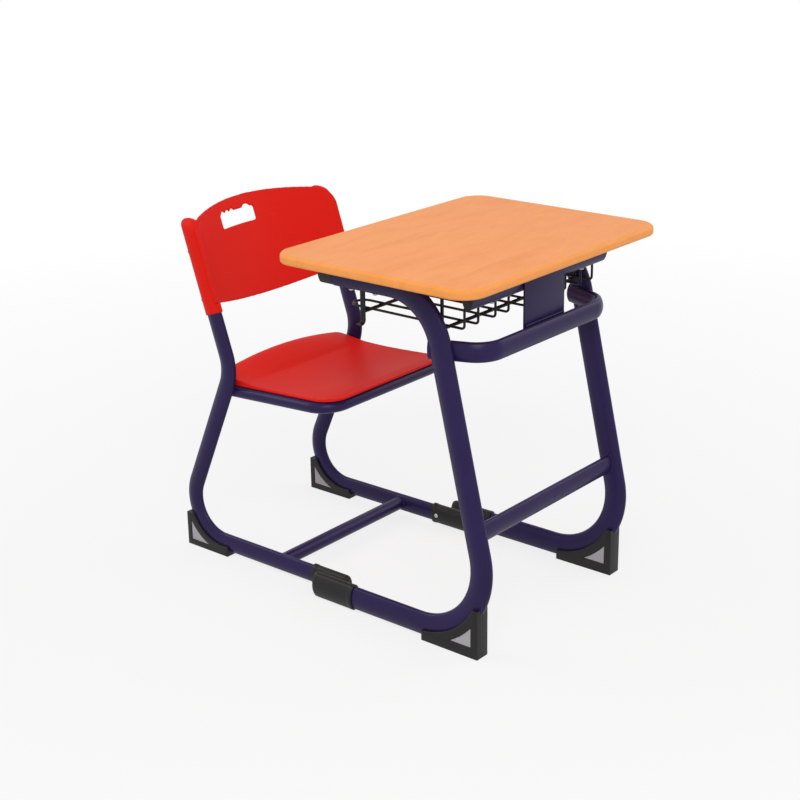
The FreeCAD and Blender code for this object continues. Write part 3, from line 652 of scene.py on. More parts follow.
class Form:
    """A mesh in millimetres that grows bit by bit and then becomes one piece."""

    def __init__(self) -> None:
        """Start with nothing."""
        self.mesh = bmesh.new()

    def loft(self, rings: Sequence[Ring], closed: bool = False, capped: bool = True) -> "Form":
        """Skin a row of rings.

        Args:
            rings: Rings with the same number of points.
            closed: Whether the last ring joins the first.
            capped: Whether the ends are closed.

        Returns:
            The form.
        """
        rows = [[self.mesh.verts.new(point) for point in ring] for ring in rings]
        count = len(rows[0])
        pairs = list(zip(rows, rows[1:]))
        if closed:
            pairs.append((rows[-1], rows[0]))
        for near, far in pairs:
            for index in range(count):
                following = (index + 1) % count
                self.mesh.faces.new((near[index], near[following], far[following], far[index]))
        if capped and not closed:
            self.mesh.faces.new(rows[0][::-1])
            self.mesh.faces.new(rows[-1])
        return self

    def sweep(self, route: Sequence[Station], profile: Sequence[tuple[float, float]],
              normal: Vector) -> "Form":
        """Carry a profile along a route.

        Args:
            route: The stations.
            profile: Offsets along the normal and at a right angle to it.
            normal: The fixed normal of the route's plane.

        Returns:
            The form.
        """
        return self.loft([section_at(station, profile, normal) for station in route])

    def slab(self, loops: Sequence[Sequence[tuple[float, float]]], thickness: float, rounding: float,
             place: Place, cuts: tuple[Iterable[float], Iterable[float]] = ((), ())) -> "Form":
        """A plate of any outline with rounded edges, set in place by a function.

        Args:
            loops: The outline and any holes, in the plate's own plane.
            thickness: Full thickness.
            rounding: Radius of the edges.
            place: Gives the point for plate coordinates u, v and w, with w across the thickness.
            cuts: Values of u and of v at which the plate is cut, so that it can bend there.

        Returns:
            The form.
        """
        curve = bpy.data.curves.new("outline", "CURVE")
        curve.dimensions = "2D"
        curve.fill_mode = "BOTH"
        curve.extrude = thickness / 2 - rounding
        curve.bevel_depth = rounding
        curve.bevel_resolution = 3
        curve.offset = -rounding
        for loop in loops:
            spline = curve.splines.new("POLY")
            spline.points.add(len(loop) - 1)
            for point, (u, v) in zip(spline.points, loop):
                point.co = (u, v, 0.0, 1.0)
            spline.use_cyclic_u = True
        holder = bpy.data.objects.new("outline", curve)
        bpy.context.scene.collection.objects.link(holder)
        bpy.context.view_layer.update()
        mesh = bpy.data.meshes.new_from_object(holder.evaluated_get(bpy.context.evaluated_depsgraph_get()))
        bpy.data.objects.remove(holder)
        plate = bmesh.new()
        plate.from_mesh(mesh)
        bpy.data.meshes.remove(mesh)
        bmesh.ops.remove_doubles(plate, verts=plate.verts, dist=SLAB_WELD)
        for axis, places in zip((X, Y), cuts):
            for value in places:
                bmesh.ops.bisect_plane(plate, geom=[*plate.verts, *plate.edges, *plate.faces], dist=SLAB_CUT,
                                       plane_co=axis * value, plane_no=axis)
        for vertex in plate.verts:
            vertex.co = place(*vertex.co)
        spare = bpy.data.meshes.new("plate")
        plate.to_mesh(spare)
        plate.free()
        self.mesh.from_mesh(spare)
        bpy.data.meshes.remove(spare)
        return self

    def melt(self, voxel: float, rounds: int) -> "Form":
        """Fuse everything so far into one moulded skin with softened edges.

        Args:
            voxel: Size of the grid that the skin is drawn on.
            rounds: Passes of smoothing.

        Returns:
            The form.
        """
        bmesh.ops.recalc_face_normals(self.mesh, faces=self.mesh.faces)
        mesh = bpy.data.meshes.new("melt")
        self.mesh.to_mesh(mesh)
        holder = bpy.data.objects.new("melt", mesh)
        bpy.context.scene.collection.objects.link(holder)
        fuse = holder.modifiers.new("fuse", "REMESH")
        fuse.mode = "VOXEL"
        fuse.voxel_size = voxel
        soften = holder.modifiers.new("soften", "SMOOTH")
        soften.factor = 0.5
        soften.iterations = rounds
        bpy.context.view_layer.update()
        fused = bpy.data.meshes.new_from_object(holder.evaluated_get(bpy.context.evaluated_depsgraph_get()))
        bpy.data.objects.remove(holder)
        bpy.data.meshes.remove(mesh)
        self.mesh.clear()
        self.mesh.from_mesh(fused)
        bpy.data.meshes.remove(fused)
        return self

    def piece(self, name: str, slot: Slot, finishes: Finishes, replaces: Sequence[str] = (),
              crease: float = 35.0) -> bpy.types.Object:
        """Turn the form into a piece of the desk chair.

        Args:
            name: The piece's name.
            slot: Its material slot.
            finishes: The materials.
            replaces: CAD nodes that it stands for.
            crease: Angle in degrees over which an edge stays sharp.

        Returns:
            The object.
        """
        bmesh.ops.remove_doubles(self.mesh, verts=self.mesh.verts, dist=PIECE_WELD)
        bmesh.ops.recalc_face_normals(self.mesh, faces=self.mesh.faces)
        limit = math.radians(crease)
        for edge in self.mesh.edges:
            edge.smooth = not (len(edge.link_faces) == 2 and edge.calc_face_angle() > limit)
        for face in self.mesh.faces:
            face.smooth = True
        self.mesh.transform(Matrix.Scale(MM, 4))
        mesh = bpy.data.meshes.new(name)
        self.mesh.to_mesh(mesh)
        self.mesh.free()
        mesh.materials.append(finishes.of(slot))
        made = bpy.data.objects.new(name, mesh)
        bpy.context.scene.collection.objects.link(made)
        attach(made, BODY)
        if replaces:
            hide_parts(*replaces)
        log.info("%s: %d faces", name, len(mesh.polygons))
        return made


class Carrier:
    """The outside of a CAD node, for finding where a tube end meets it."""

    def __init__(self, node: str) -> None:
        """Index a node's mesh.

        Args:
            node: The CAD node's name.
        """
        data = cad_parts[node].data
        self.tree = BVHTree.FromPolygons([vertex.co / MM for vertex in data.vertices],
                                         [tuple(polygon.vertices) for polygon in data.polygons])

    def seam(self, section: Ring, heading: Vector) -> Ring:
        """Where a tube's outside runs into the node.

        Args:
            section: Points round the tube, clear of the node.
            heading: The way the tube runs towards it.

        Returns:
            The points of the seam, without those that miss.
        """
        hits = (self.tree.ray_cast(point, heading)[0] for point in section)
        return [hit for hit in hits if hit is not None]


@dataclass
class WeldBead:
    """A rippled bead laid round a tube end."""

    radius: float = 2.1
    ripple: float = 0.16
    pitch: float = 3.4
    spacing: float = 1.1
    fewest: int = 8

    def swell(self, run: float) -> float:
        """How thick the ripples make the bead, as a factor, at a distance along it."""
        return 1 + self.ripple * abs(math.sin(math.pi * run / self.pitch))

    def lay(self, form: Form, seam: Ring) -> None:
        """Add the bead to a form.

        Args:
            form: The form that takes it.
            seam: Closed loop of points that it follows.
        """
        if len(seam) < self.fewest:
            return
        loop = self._even(seam)
        count = len(loop)
        centre = sum(loop, Vector()) / count
        rings = []
        for index, point in enumerate(loop):
            heading = (loop[(index + 1) % count] - loop[index - 1]).normalized()
            outward = point - centre
            outward = (outward - heading * outward.dot(heading)).normalized()
            other = heading.cross(outward)
            swell = self.swell(index * self.spacing)
            rings.append([point + (outward * math.cos(turn) + other * math.sin(turn)) * self.radius * swell
                          for turn in turns(BEAD_POINTS, 2 * math.pi)[:-1]])
        form.loft(rings, closed=True)

    def _even(self, seam: Ring) -> Ring:
        """Points at even spacing round a closed loop.

        Args:
            seam: The loop.

        Returns:
            The even points.
        """
        points = []
        for start, stop in zip(seam, seam[1:] + seam[:1]):
            steps = max(1, round((stop - start).length / self.spacing))
            points += [start.lerp(stop, step / steps) for step in range(steps)]
        return points


# ------------------------------------------------------------------ shared sizes


@dataclass(frozen=True)
class Plan:
    """Driving sizes of the desk chair, in millimetres and degrees."""

    front_edge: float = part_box("desktop_edge_band")[0].y / MM
    rear_edge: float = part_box("chair_frame_right")[1].y / MM
    desk_height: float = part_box("desktop_board")[1].z / MM
    desktop_thickness: float = 20.0
    desktop_depth: float = 480.0
    desktop_width: float = 650.0
    rail_height: float = 28.5
    desk_frame_x: float = 237.0
    desk_tube: tuple[float, float] = (25.0, 50.0)
    desk_lean: float = 13.0
    desk_upper_radius: float = 125.0
    desk_lower_radius: float = 150.0
    leg_top_setback: float = 156.0
    top_run_setback: float = 90.0
    chair_frame_x: float = 205.0
    chair_tube: tuple[float, float] = (20.0, 40.0)
    chair_rake: float = 24.0
    chair_lean: float = 18.3
    chair_lower_radius: float = 90.0
    knee_height: float = 436.0
    knee_radius: float = 100.0
    upright_top: float = 700.0

    @property
    def underside(self) -> float:
        """Height of the desktop's underside."""
        return self.desk_height - self.desktop_thickness

    @property
    def top_run_height(self) -> float:
        """Centre height of the tube under the desktop."""
        return self.underside - self.desk_tube[1] / 2

    @property
    def leg_corner_y(self) -> float:
        """Where the leg's line meets the top run's."""
        return self.front_edge + self.leg_top_setback

    def leg_y(self, height: float) -> float:
        """Centre line of a desk leg at a height."""
        return self.leg_corner_y - math.tan(math.radians(self.desk_lean)) * (self.top_run_height - height)

    @property
    def desk_bend(self) -> tuple[float, float]:
        """Centre of a desk frame's lower bend, as y and z."""
        run = self.desk_lower_radius * math.tan(math.radians(90 + self.desk_lean) / 2)
        return self.leg_y(self.rail_height) + run, self.rail_height + self.desk_lower_radius

    @property
    def chair_bend(self) -> tuple[float, float]:
        """Centre of a chair frame's rear bend, as y and z."""
        reach = self.chair_tube[1] / 2 + self.chair_lower_radius
        return self.rear_edge - reach, self.rail_height + self.chair_lower_radius

    @property
    def chair_foot_y(self) -> float:
        """Where the chair leg's line meets the rail's."""
        return self.chair_bend[0] + self.chair_lower_radius * math.tan(math.radians(90 + self.chair_rake) / 2)

    @property
    def knee_y(self) -> float:
        """Corner between the chair's leg and its upright."""
        run = math.tan(math.radians(self.chair_rake)) * (self.knee_height - self.rail_height)
        return self.chair_foot_y - run

    def upright(self, height: float) -> Vector:
        """Centre line of an upright at a height, in the side plane."""
        run = math.tan(math.radians(self.chair_lean)) * (height - self.knee_height)
        return at(0.0, self.knee_y + run, height)


PLAN = Plan()


# ------------------------------------------------------------------ desktop


@dataclass
class Desktop:
    """The wood-grain board with its moulded, well rounded edge."""

    corner_radius: float = 50.0
    band: float = 12.0
    top_rounding: float = 8.0
    bottom_rounding: float = 5.0
    seam: float = 0.25

    def build(self, finishes: Finishes) -> None:
        """Make the board and its edge.

        Args:
            finishes: The materials.
        """
        self._board().piece("desktop_top", Slot.BOARD, finishes, ["desktop_board"])
        self._edge().piece("desktop_moulded_edge", Slot.BAND, finishes, ["desktop_edge_band"],
                           CAST_CREASE)

    def outline(self, inset: float, per_corner: int = 14) -> list[tuple[Vector, Vector]]:
        """The desktop's outline with its outward normals.

        Args:
            inset: How far inside the desktop's edge.
            per_corner: Steps in each corner.

        Returns:
            Points at height 0 and normals.
        """
        half = PLAN.desktop_width / 2 - self.corner_radius
        low = PLAN.front_edge + self.corner_radius
        high = PLAN.front_edge + PLAN.desktop_depth - self.corner_radius
        found = []
        for corner, (x, y) in enumerate(((half, high), (-half, high), (-half, low), (half, low))):
            for step in range(per_corner + 1):
                turn = math.pi / 2 * (corner + step / per_corner)
                normal = at(math.cos(turn), math.sin(turn), 0.0)
                found.append((at(x, y, 0.0) + normal * (self.corner_radius - inset), normal))
        return found

    def _board(self) -> Form:
        """The board inside the moulded edge.

        Returns:
            The form.
        """
        inner = [point for point, _ in self.outline(self.band)]
        lip = [point for point, _ in self.outline(self.band + self.seam)]
        top, low = PLAN.desk_height, PLAN.underside
        rings = [[point + Z * low for point in inner], [point + Z * (top - self.seam) for point in inner],
                 [point + Z * top for point in lip]]
        return Form().loft(rings)

    def _edge(self) -> Form:
        """The moulded edge all round the board.

        Returns:
            The form.
        """
        top, low = PLAN.desk_height, PLAN.underside
        profile = [(self.band, low), (self.band, top - self.seam), (self.band - self.seam, top)]
        for turn in turns(8):
            profile.append((self.top_rounding * (1 - math.sin(turn)),
                            top - self.top_rounding * (1 - math.cos(turn))))
        for turn in turns(6):
            profile.append((self.bottom_rounding * (1 - math.cos(turn)),
                            low + self.bottom_rounding * (1 - math.sin(turn))))
        rings = [[point - normal * inset + Z * height for inset, height in profile]
                 for point, normal in self.outline(0.0)]
        return Form().loft(rings, closed=True)


# ------------------------------------------------------------------ desk frame


@dataclass
class DeskFrame:
    """Two bent side tubes and what is welded between them."""

    rail_end: float = 26.0
    plug_head: float = 39.0
    plug_inset: float = 1.0
    plug_tip: float = 5.75
    plug_steps: tuple[tuple[float, float], ...] = (
        (-20.0, 3.0), (-0.5, 3.0), (0.0, 0.0), (1.5, 0.0), (1.8, 0.5), (2.6, 0.5), (2.9, 0.0))
    crossbar_height: float = 606.0
    crossbar: tuple[float, float] = (40.0, 20.0)
    crossbar_reach: float = 386.0
    crossbar_half_span: float = 197.0
    crossbar_radius: float = 55.0
    crossbar_root: float = 30.0
    footrest_height: float = 254.0
    front_rail: tuple[float, float] = (50.0, 25.0)
    front_rail_length: float = 458.0
    rail_cap: float = 6.0
    plate: tuple[float, float] = (134.0, 4.0)
    plate_drop: float = 12.0
    plate_rounding: float = 0.8
    plate_bead_end: float = 3.0
    plate_bead_sink: float = 1.5
    bead: WeldBead = field(default_factory=WeldBead)

    @property
    def plate_y(self) -> float:
        """Middle of the support plate's thickness."""
        return -self.crossbar_reach + self.crossbar[1] / 2 + self.plate[1] / 2

    @property
    def front_rail_y(self) -> float:
        """Centre line of the rail under the desktop's front."""
        return self.plate_y + self.plate[1] / 2 + self.front_rail[1] / 2

    @property
    def front_rail_height(self) -> float:
        """Centre height of that rail."""
        return PLAN.underside - self.front_rail[0] / 2

    def build(self, finishes: Finishes) -> None:
        """Make the frame's pieces.

        Args:
            finishes: The materials.
        """
        for side in Side:
            node = "desk_frame_" + side.label
            self._side_tube(side).piece("desk_tube_" + side.label, Slot.FRAME, finishes, [node])
            self._plug(side).piece("desk_tube_plug_" + side.label, Slot.MOULDING, finishes,
                                   ["desk_frame_plug_" + side.label], CAST_CREASE)
        self._crossbar().piece("bowed_crossbar", Slot.FRAME, finishes, ["desk_crossbar"])
        self._footrest().piece("footrest", Slot.FRAME, finishes, ["footrest_tube"])
        self._front_rail().piece("under_desk_rail", Slot.FRAME, finishes, ["desktop_front_rail"])
        self._rail_caps().piece("under_desk_rail_caps", Slot.MOULDING, finishes, ["front_rail_end_caps"],
                                CAST_CREASE)
        self._plate().piece("crossbar_plate", Slot.FRAME, finishes, ["crossbar_support_plate"])
        self._welds().piece("desk_frame_welds", Slot.FRAME, finishes, (), BEAD_CREASE)

    def _side_tube(self, side: Side) -> Form:
        """One bent oval tube, from the desktop to the coupler.

        Args:
            side: Which side.

        Returns:
            The form.
        """
        x = side.value * PLAN.desk_frame_x
        end = PLAN.front_edge + PLAN.desktop_depth - PLAN.top_run_setback
        corners = [at(x, end, PLAN.top_run_height), at(x, PLAN.leg_corner_y, PLAN.top_run_height),
                   at(x, PLAN.leg_y(PLAN.rail_height), PLAN.rail_height),
                   at(x, self.rail_end, PLAN.rail_height)]
        route = bent_route(corners, [PLAN.desk_upper_radius, PLAN.desk_lower_radius])
        return Form().sweep(route, oval(*PLAN.desk_tube, DESK_TUBE_POINTS), X)

    def _plug(self, side: Side) -> Form:
        """The black plug in the open end of a top run.

        Args:
            side: Which side.

        Returns:
            The form.
        """
        end = PLAN.front_edge + PLAN.desktop_depth - PLAN.top_run_setback
        mouth = at(side.value * PLAN.desk_frame_x, end, PLAN.top_run_height)
        size = tuple(full - 2 * self.plug_inset for full in PLAN.desk_tube)
        rings = [section_at(Station(mouth + Y * reach, Y), inset_oval(size, shrink), X)
                 for reach, shrink in self.plug_steps]
        for turn in turns(8):
            reach = self.plug_head - self.plug_tip + self.plug_tip * math.sin(turn)
            shrink = self.plug_tip * (1 - math.cos(turn))
            rings.append(section_at(Station(mouth + Y * reach, Y), inset_oval(size, shrink), X))
        return Form().loft(rings)

    def _crossbar_route(self) -> list[Station]:
        """Centre line of the bowed bar.

        Returns:
            The stations.
        """
        root = PLAN.leg_y(self.crossbar_height) + self.crossbar_root
        corners = [at(-PLAN.desk_frame_x, root, self.crossbar_height),
                   at(-self.crossbar_half_span, -self.crossbar_reach, self.crossbar_height),
                   at(self.crossbar_half_span, -self.crossbar_reach, self.crossbar_height),
                   at(PLAN.desk_frame_x, root, self.crossbar_height)]
        return bent_route(corners, [self.crossbar_radius] * 2)

    def _crossbar(self) -> Form:
        """The bar that bows forward between the legs."""
        return Form().sweep(self._crossbar_route(), oval(*self.crossbar, BAR_POINTS), Z)

    def _footrest(self) -> Form:
        """The low tube between the legs.

        Returns:
            The form.
        """
        y = PLAN.leg_y(self.footrest_height)
        ends = [at(side.value * PLAN.desk_frame_x, y, self.footrest_height) for side in Side]
        return Form().sweep(bent_route(ends, []), oval(*self.crossbar, BAR_POINTS), Z)

    def _front_rail(self) -> Form:
        """The tube under the desktop's front.

        Returns:
            The form.
        """
        half = self.front_rail_length / 2 - self.rail_cap
        ends = [at(side.value * half, self.front_rail_y, self.front_rail_height) for side in Side]
        return Form().sweep(bent_route(ends, []), oval(*self.front_rail, BAR_POINTS), Z)

    def _rail_caps(self) -> Form:
        """The rounded caps on that tube.

        Returns:
            The form.
        """
        form = Form()
        for side in Side:
            way = X * side.value
            mouth = at(side.value * (self.front_rail_length / 2 - self.rail_cap), self.front_rail_y,
                       self.front_rail_height)
            form.loft([section_at(Station(mouth + way * (self.rail_cap * math.sin(turn)), way),
                                  inset_oval(self.front_rail, self.rail_cap * (1 - math.cos(turn))), Z)
                       for turn in turns(8)])
        return form

    def _plate(self) -> Form:
        """The flat plate between the crossbar and the desktop.

        Returns:
            The form.
        """
        width, thickness = self.plate
        low = self.crossbar_height + self.crossbar[0] / 2 - self.plate_drop
        half, high = width / 2, PLAN.underside
        outline = [(-half, low), (half, low), (half, high), (-half, high)]
        return Form().slab([outline], thickness, self.plate_rounding,
                           lambda u, v, w: at(u, self.plate_y + w, v))

    def _welds(self) -> Form:
        """Beads round the ends of the crossbar and the footrest, and along the plate.

        Returns:
            The form.
        """
        form = Form()
        route = self._crossbar_route()
        y = PLAN.leg_y(self.footrest_height)
        for side in Side:
            carrier = Carrier("desk_frame_" + side.label)
            near = route[1:3] if side is Side.LEFT else route[-3:-1]
            inner = near[0] if side is Side.LEFT else near[-1]
            heading = -inner.heading if side is Side.LEFT else inner.heading
            ring = section_at(inner, oval(*self.crossbar, SEAM_POINTS), Z)
            self.bead.lay(form, carrier.seam(ring, heading))
            foot = Station(at(side.value * PLAN.desk_frame_x / 2, y, self.footrest_height), X * side.value)
            ring = section_at(foot, oval(*self.crossbar, SEAM_POINTS), Z)
            self.bead.lay(form, carrier.seam(ring, foot.heading))
        self._plate_weld(form)
        return form

    def _plate_weld(self, form: Form) -> None:
        """Add the bead where the plate stands on the crossbar.

        Args:
            form: The form that takes it.
        """
        half = self.plate[0] / 2 - self.plate_bead_end
        height = self.crossbar_height + self.crossbar[0] / 2 - self.plate_bead_sink
        ends = [at(side.value * half, self.plate_y - self.plate[1] / 2, height) for side in Side]
        steps = round(2 * half / self.bead.spacing)
        rings = []
        for step in range(steps + 1):
            swell = self.bead.swell(step * self.bead.spacing)
            station = Station(ends[0].lerp(ends[1], step / steps), X)
            rings.append(section_at(station, oval(1.0, 1.0, BEAD_POINTS), Z, 2 * self.bead.radius * swell))
        form.loft(rings)


# ------------------------------------------------------------------ basket


@dataclass
class Basket:
    """The wire book basket that hangs under the desktop."""

    drop: float = 90.0
    loops: int = 5
    pitch: float = 96.0
    gauge: float = 42.0
    rear: float = -61.0
    front: float = -344.0
    riser: float = 42.0
    wire: float = 5.0
    bend: float = 7.0
    rod: float = 7.0
    front_rod: float = -298.0
    rear_rod: float = -106.0
    rod_bend: float = 14.0
    rod_turn_step: float = 6.0
    strap: tuple[float, float] = (12.0, 3.0)
    strap_rounding: float = 0.9
    strap_foot: float = 620.0
    hook: float = 9.0
    hook_turn: float = 125.0
    spot_size: float = 1.9
    spot_spread: float = 0.5
    spot_width: float = 3.4
    spot_height: float = 1.2
    spot_tip: float = 0.05

    @property
    def floor(self) -> float:
        """Centre height of the floor wires."""
        return PLAN.underside - self.drop

    @property
    def rod_height(self) -> float:
        """Centre height of the two rods."""
        return self.floor - self.wire / 2 - self.rod / 2

    @property
    def inner_face(self) -> float:
        """Inner side of a desk tube."""
        return PLAN.desk_frame_x - PLAN.desk_tube[0] / 2

    def build(self, finishes: Finishes) -> None:
        """Make the basket's pieces.

        Args:
            finishes: The materials.
        """
        for number in range(1, self.loops + 1):
            middle = (number - (self.loops + 1) / 2) * self.pitch
            self._loop(middle).piece(f"basket_loop_{number}", Slot.WIRE, finishes,
                                     [f"basket_wire_loop_{number}"])
        self._front_rod().piece("basket_front_rail", Slot.WIRE, finishes, ["basket_front_rod"])
        self._rear_rod().piece("basket_rear_rail", Slot.WIRE, finishes, ["basket_rear_rod"])
        for side in Side:
            self._hanger(side).piece("basket_strap_" + side.label, Slot.WIRE, finishes,
                                     ["basket_hanger_" + side.label], CAST_CREASE)
        self._spots().piece("basket_spot_welds", Slot.WIRE, finishes, (), BEAD_CREASE)

    def _loop(self, middle: float) -> Form:
        """One closed hairpin of wire with an upturned front.

        Args:
            middle: Its place across the desk.

        Returns:
            The form.
        """
        half, low, top = self.gauge / 2, self.floor, self.floor + self.riser
        turn_y = self.rear - half
        places = [at(middle - half * math.cos(turn), turn_y + half * math.sin(turn), low)
                  for turn in turns(18, math.pi)]
        right = self._corner(at(middle + half, self.front, low), -Y, Z)
        rise = self._corner(at(middle + half, self.front, top), Z, -X)
        fall = self._corner(at(middle - half, self.front, top), -X, -Z)
        left = self._corner(at(middle - half, self.front, low), -Z, Y)
        places += right + rise + fall + left
        return self._wire_loop(places, self.wire)

    def _corner(self, corner: Vector, before: Vector, after: Vector) -> list[Vector]:
        """A quarter bend of wire.

        Args:
            corner: The sharp corner.
            before: The way the wire comes.
            after: The way it goes.

        Returns:
            Points round the bend.
        """
        centre = corner - before * self.bend + after * self.bend
        return [centre - after * (self.bend * math.cos(turn)) + before * (self.bend * math.sin(turn))
                for turn in turns(6)]

    @staticmethod
    def _wire_loop(places: Sequence[Vector], diameter: float) -> Form:
        """Round wire through a closed row of points.

        Args:
            places: The points.
            diameter: Of the wire.

        Returns:
            The form.
        """
        count = len(places)
        rings, normal = [], Z.copy()
        for index, place in enumerate(places):
            heading = (places[(index + 1) % count] - places[index - 1]).normalized()
            normal = (normal - heading * normal.dot(heading)).normalized()
            other = heading.cross(normal)
            rings.append([place + (normal * math.cos(turn) + other * math.sin(turn)) * (diameter / 2)
                          for turn in turns(WIRE_POINTS, 2 * math.pi)[:-1]])
        start, last = rings[0], rings[-1]
        shift = min(range(WIRE_POINTS), key=lambda step: (last[step] - start[0]).length)
        closing = [last[(index + shift) % WIRE_POINTS] for index in range(WIRE_POINTS)]
        form = Form().loft(rings, capped=False)
        return form.loft([closing, start], capped=False)

    def _front_rod(self) -> Form:
        """The front rod whose ends turn up to the desktop.

        Returns:
            The form.
        """
        x = self.inner_face - self.rod / 2
        corners = [at(-x, self.front_rod, PLAN.underside), at(-x, self.front_rod, self.rod_height),
                   at(x, self.front_rod, self.rod_height), at(x, self.front_rod, PLAN.underside)]
        return Form().sweep(bent_route(corners, [self.rod_bend] * 2, self.rod_turn_step),
                            oval(self.rod, self.rod, ROD_POINTS), Y)

    def _rear_rod(self) -> Form:
        """The rear rod between the two straps.

        Returns:
            The form.
        """
        half = self.inner_face - self.strap[1]
        ends = [at(-half, self.rear_rod, self.rod_height), at(half, self.rear_rod, self.rod_height)]
        return Form().sweep(bent_route(ends, []), oval(self.rod, self.rod, ROD_POINTS), Y)

    def _hanger(self, side: Side) -> Form:
        """A flat strap that ends in a bag hook.

        Args:
            side: Which side.

        Returns:
            The form.
        """
        out = X * side.value
        x = side.value * (self.inner_face - self.strap[1] / 2)
        low = self.strap_foot + self.hook
        route = [Station(at(x, self.rear_rod, PLAN.underside), -Z), Station(at(x, self.rear_rod, low), -Z)]
        centre = at(x, self.rear_rod, low) + out * self.hook
        for turn in turns(18, math.radians(self.hook_turn))[1:]:
            spot = centre - out * (self.hook * math.cos(turn)) - Z * (self.hook * math.sin(turn))
            route.append(Station(spot, out * math.sin(turn) - Z * math.cos(turn)))
        return Form().sweep(route, rounded_bar(*self.strap, self.strap_rounding), Y)

    def _spots(self) -> Form:
        """Small resistance welds where the floor wires cross the rods.

        Returns:
            The form.
        """
        form = Form()
        chance = random.Random(7)
        for number in range(self.loops):
            middle = (number - (self.loops - 1) / 2) * self.pitch
            for x in (middle - self.gauge / 2, middle + self.gauge / 2):
                for y in (self.front_rod, self.rear_rod):
                    size = self.spot_size + self.spot_spread * chance.random()
                    centre = at(x, y, self.floor - self.wire / 2)
                    profile = oval(self.spot_width * size, self.spot_height * size, SPOT_POINTS)
                    form.loft([section_at(Station(centre + Y * (size * math.sin(turn)), Y), profile, X,
                                          max(self.spot_tip, math.cos(turn)))
                               for turn in (math.pi * (step / 6 - 0.5) for step in range(7))])
        return form


# ------------------------------------------------------------------ chair frame


@dataclass
class ChairFrame:
    """Two bent side tubes, the floor cross tube and the seat's support tube."""

    rail_end: float = -30.0
    cross_tube: float = 30.0
    cross_tube_y: float = 162.0
    seat_tube: float = 25.0
    seat_tube_spacing: float = 378.0
    seat_tube_rear_height: float = 387.0
    seat_tube_rise: float = 3.2
    seat_tube_front: float = 24.0
    seat_tube_radius: float = 50.0
    bead: WeldBead = field(default_factory=WeldBead)

    @property
    def seat_tube_rear(self) -> float:
        """Where the seat's tube meets the knees."""
        return PLAN.knee_y + PLAN.chair_tube[1] / 4

    def seat_height(self, y: float) -> float:
        """Centre height of the seat's tube at y."""
        rise = math.tan(math.radians(self.seat_tube_rise)) * (self.seat_tube_rear - y)
        return self.seat_tube_rear_height + rise

    def build(self, finishes: Finishes) -> None:
        """Make the chair frame's pieces.

        Args:
            finishes: The materials.
        """
        for side in Side:
            self._side_tube(side).piece("chair_tube_" + side.label, Slot.FRAME, finishes,
                                        ["chair_frame_" + side.label])
        self._cross_tube().piece("floor_tie_tube", Slot.FRAME, finishes, ["floor_cross_tube"])
        self._seat_tube().piece("seat_carrier_tube", Slot.FRAME, finishes, ["seat_support_tube"])
        self._welds().piece("chair_frame_welds", Slot.FRAME, finishes, (), BEAD_CREASE)

    def _side_tube(self, side: Side) -> Form:
        """One bent oval tube, from the coupler to the backrest.

        Args:
            side: Which side.

        Returns:
            The form.
        """
        x = side.value * PLAN.chair_frame_x
        corners = [PLAN.upright(PLAN.upright_top) + X * x, at(x, PLAN.knee_y, PLAN.knee_height),
                   at(x, PLAN.chair_foot_y, PLAN.rail_height), at(x, self.rail_end, PLAN.rail_height)]
        route = bent_route(corners, [PLAN.knee_radius, PLAN.chair_lower_radius])
        return Form().sweep(route, oval(*PLAN.chair_tube, CHAIR_TUBE_POINTS), X)

    def _cross_tube(self) -> Form:
        """The round tube between the chair's rails.

        Returns:
            The form.
        """
        ends = [at(side.value * PLAN.chair_frame_x, self.cross_tube_y, PLAN.rail_height) for side in Side]
        return Form().sweep(bent_route(ends, []), oval(self.cross_tube, self.cross_tube), Z)

    def _seat_route(self) -> list[Station]:
        """Centre line of the seat's tube.

        Returns:
            The stations.
        """
        half, rear, front = self.seat_tube_spacing / 2, self.seat_tube_rear, self.seat_tube_front
        corners = [at(-half, rear, self.seat_height(rear)), at(-half, front, self.seat_height(front)),
                   at(half, front, self.seat_height(front)), at(half, rear, self.seat_height(rear))]
        return bent_route(corners, [self.seat_tube_radius] * 2)

    @property
    def seat_normal(self) -> Vector:
        """Normal of the plane that the seat's tube lies in."""
        rise = math.radians(self.seat_tube_rise)
        return at(0.0, math.sin(rise), math.cos(rise))

    def _seat_tube(self) -> Form:
        """The round U that carries the seat."""
        profile = oval(self.seat_tube, self.seat_tube, SEAM_POINTS)
        return Form().sweep(self._seat_route(), profile, self.seat_normal)

    def _welds(self) -> Form:
        """Beads at the knees and at the floor tube.

        Returns:
            The form.
        """
        form = Form()
        route = self._seat_route()
        for side in Side:
            carrier = Carrier("chair_frame_" + side.label)
            middle = at(side.value * PLAN.chair_frame_x / 2, self.cross_tube_y, PLAN.rail_height)
            tie = Station(middle, X * side.value)
            ring = section_at(tie, oval(self.cross_tube, self.cross_tube, SEAM_POINTS), Z)
            self.bead.lay(form, carrier.seam(ring, tie.heading))
            end = route[1] if side is Side.LEFT else route[-2]
            heading = -end.heading if side is Side.LEFT else end.heading
            ring = section_at(end, oval(self.seat_tube, self.seat_tube, SEAM_POINTS), self.seat_normal)
            self.bead.lay(form, carrier.seam(ring, heading))
        return form


# ------------------------------------------------------------------ seat


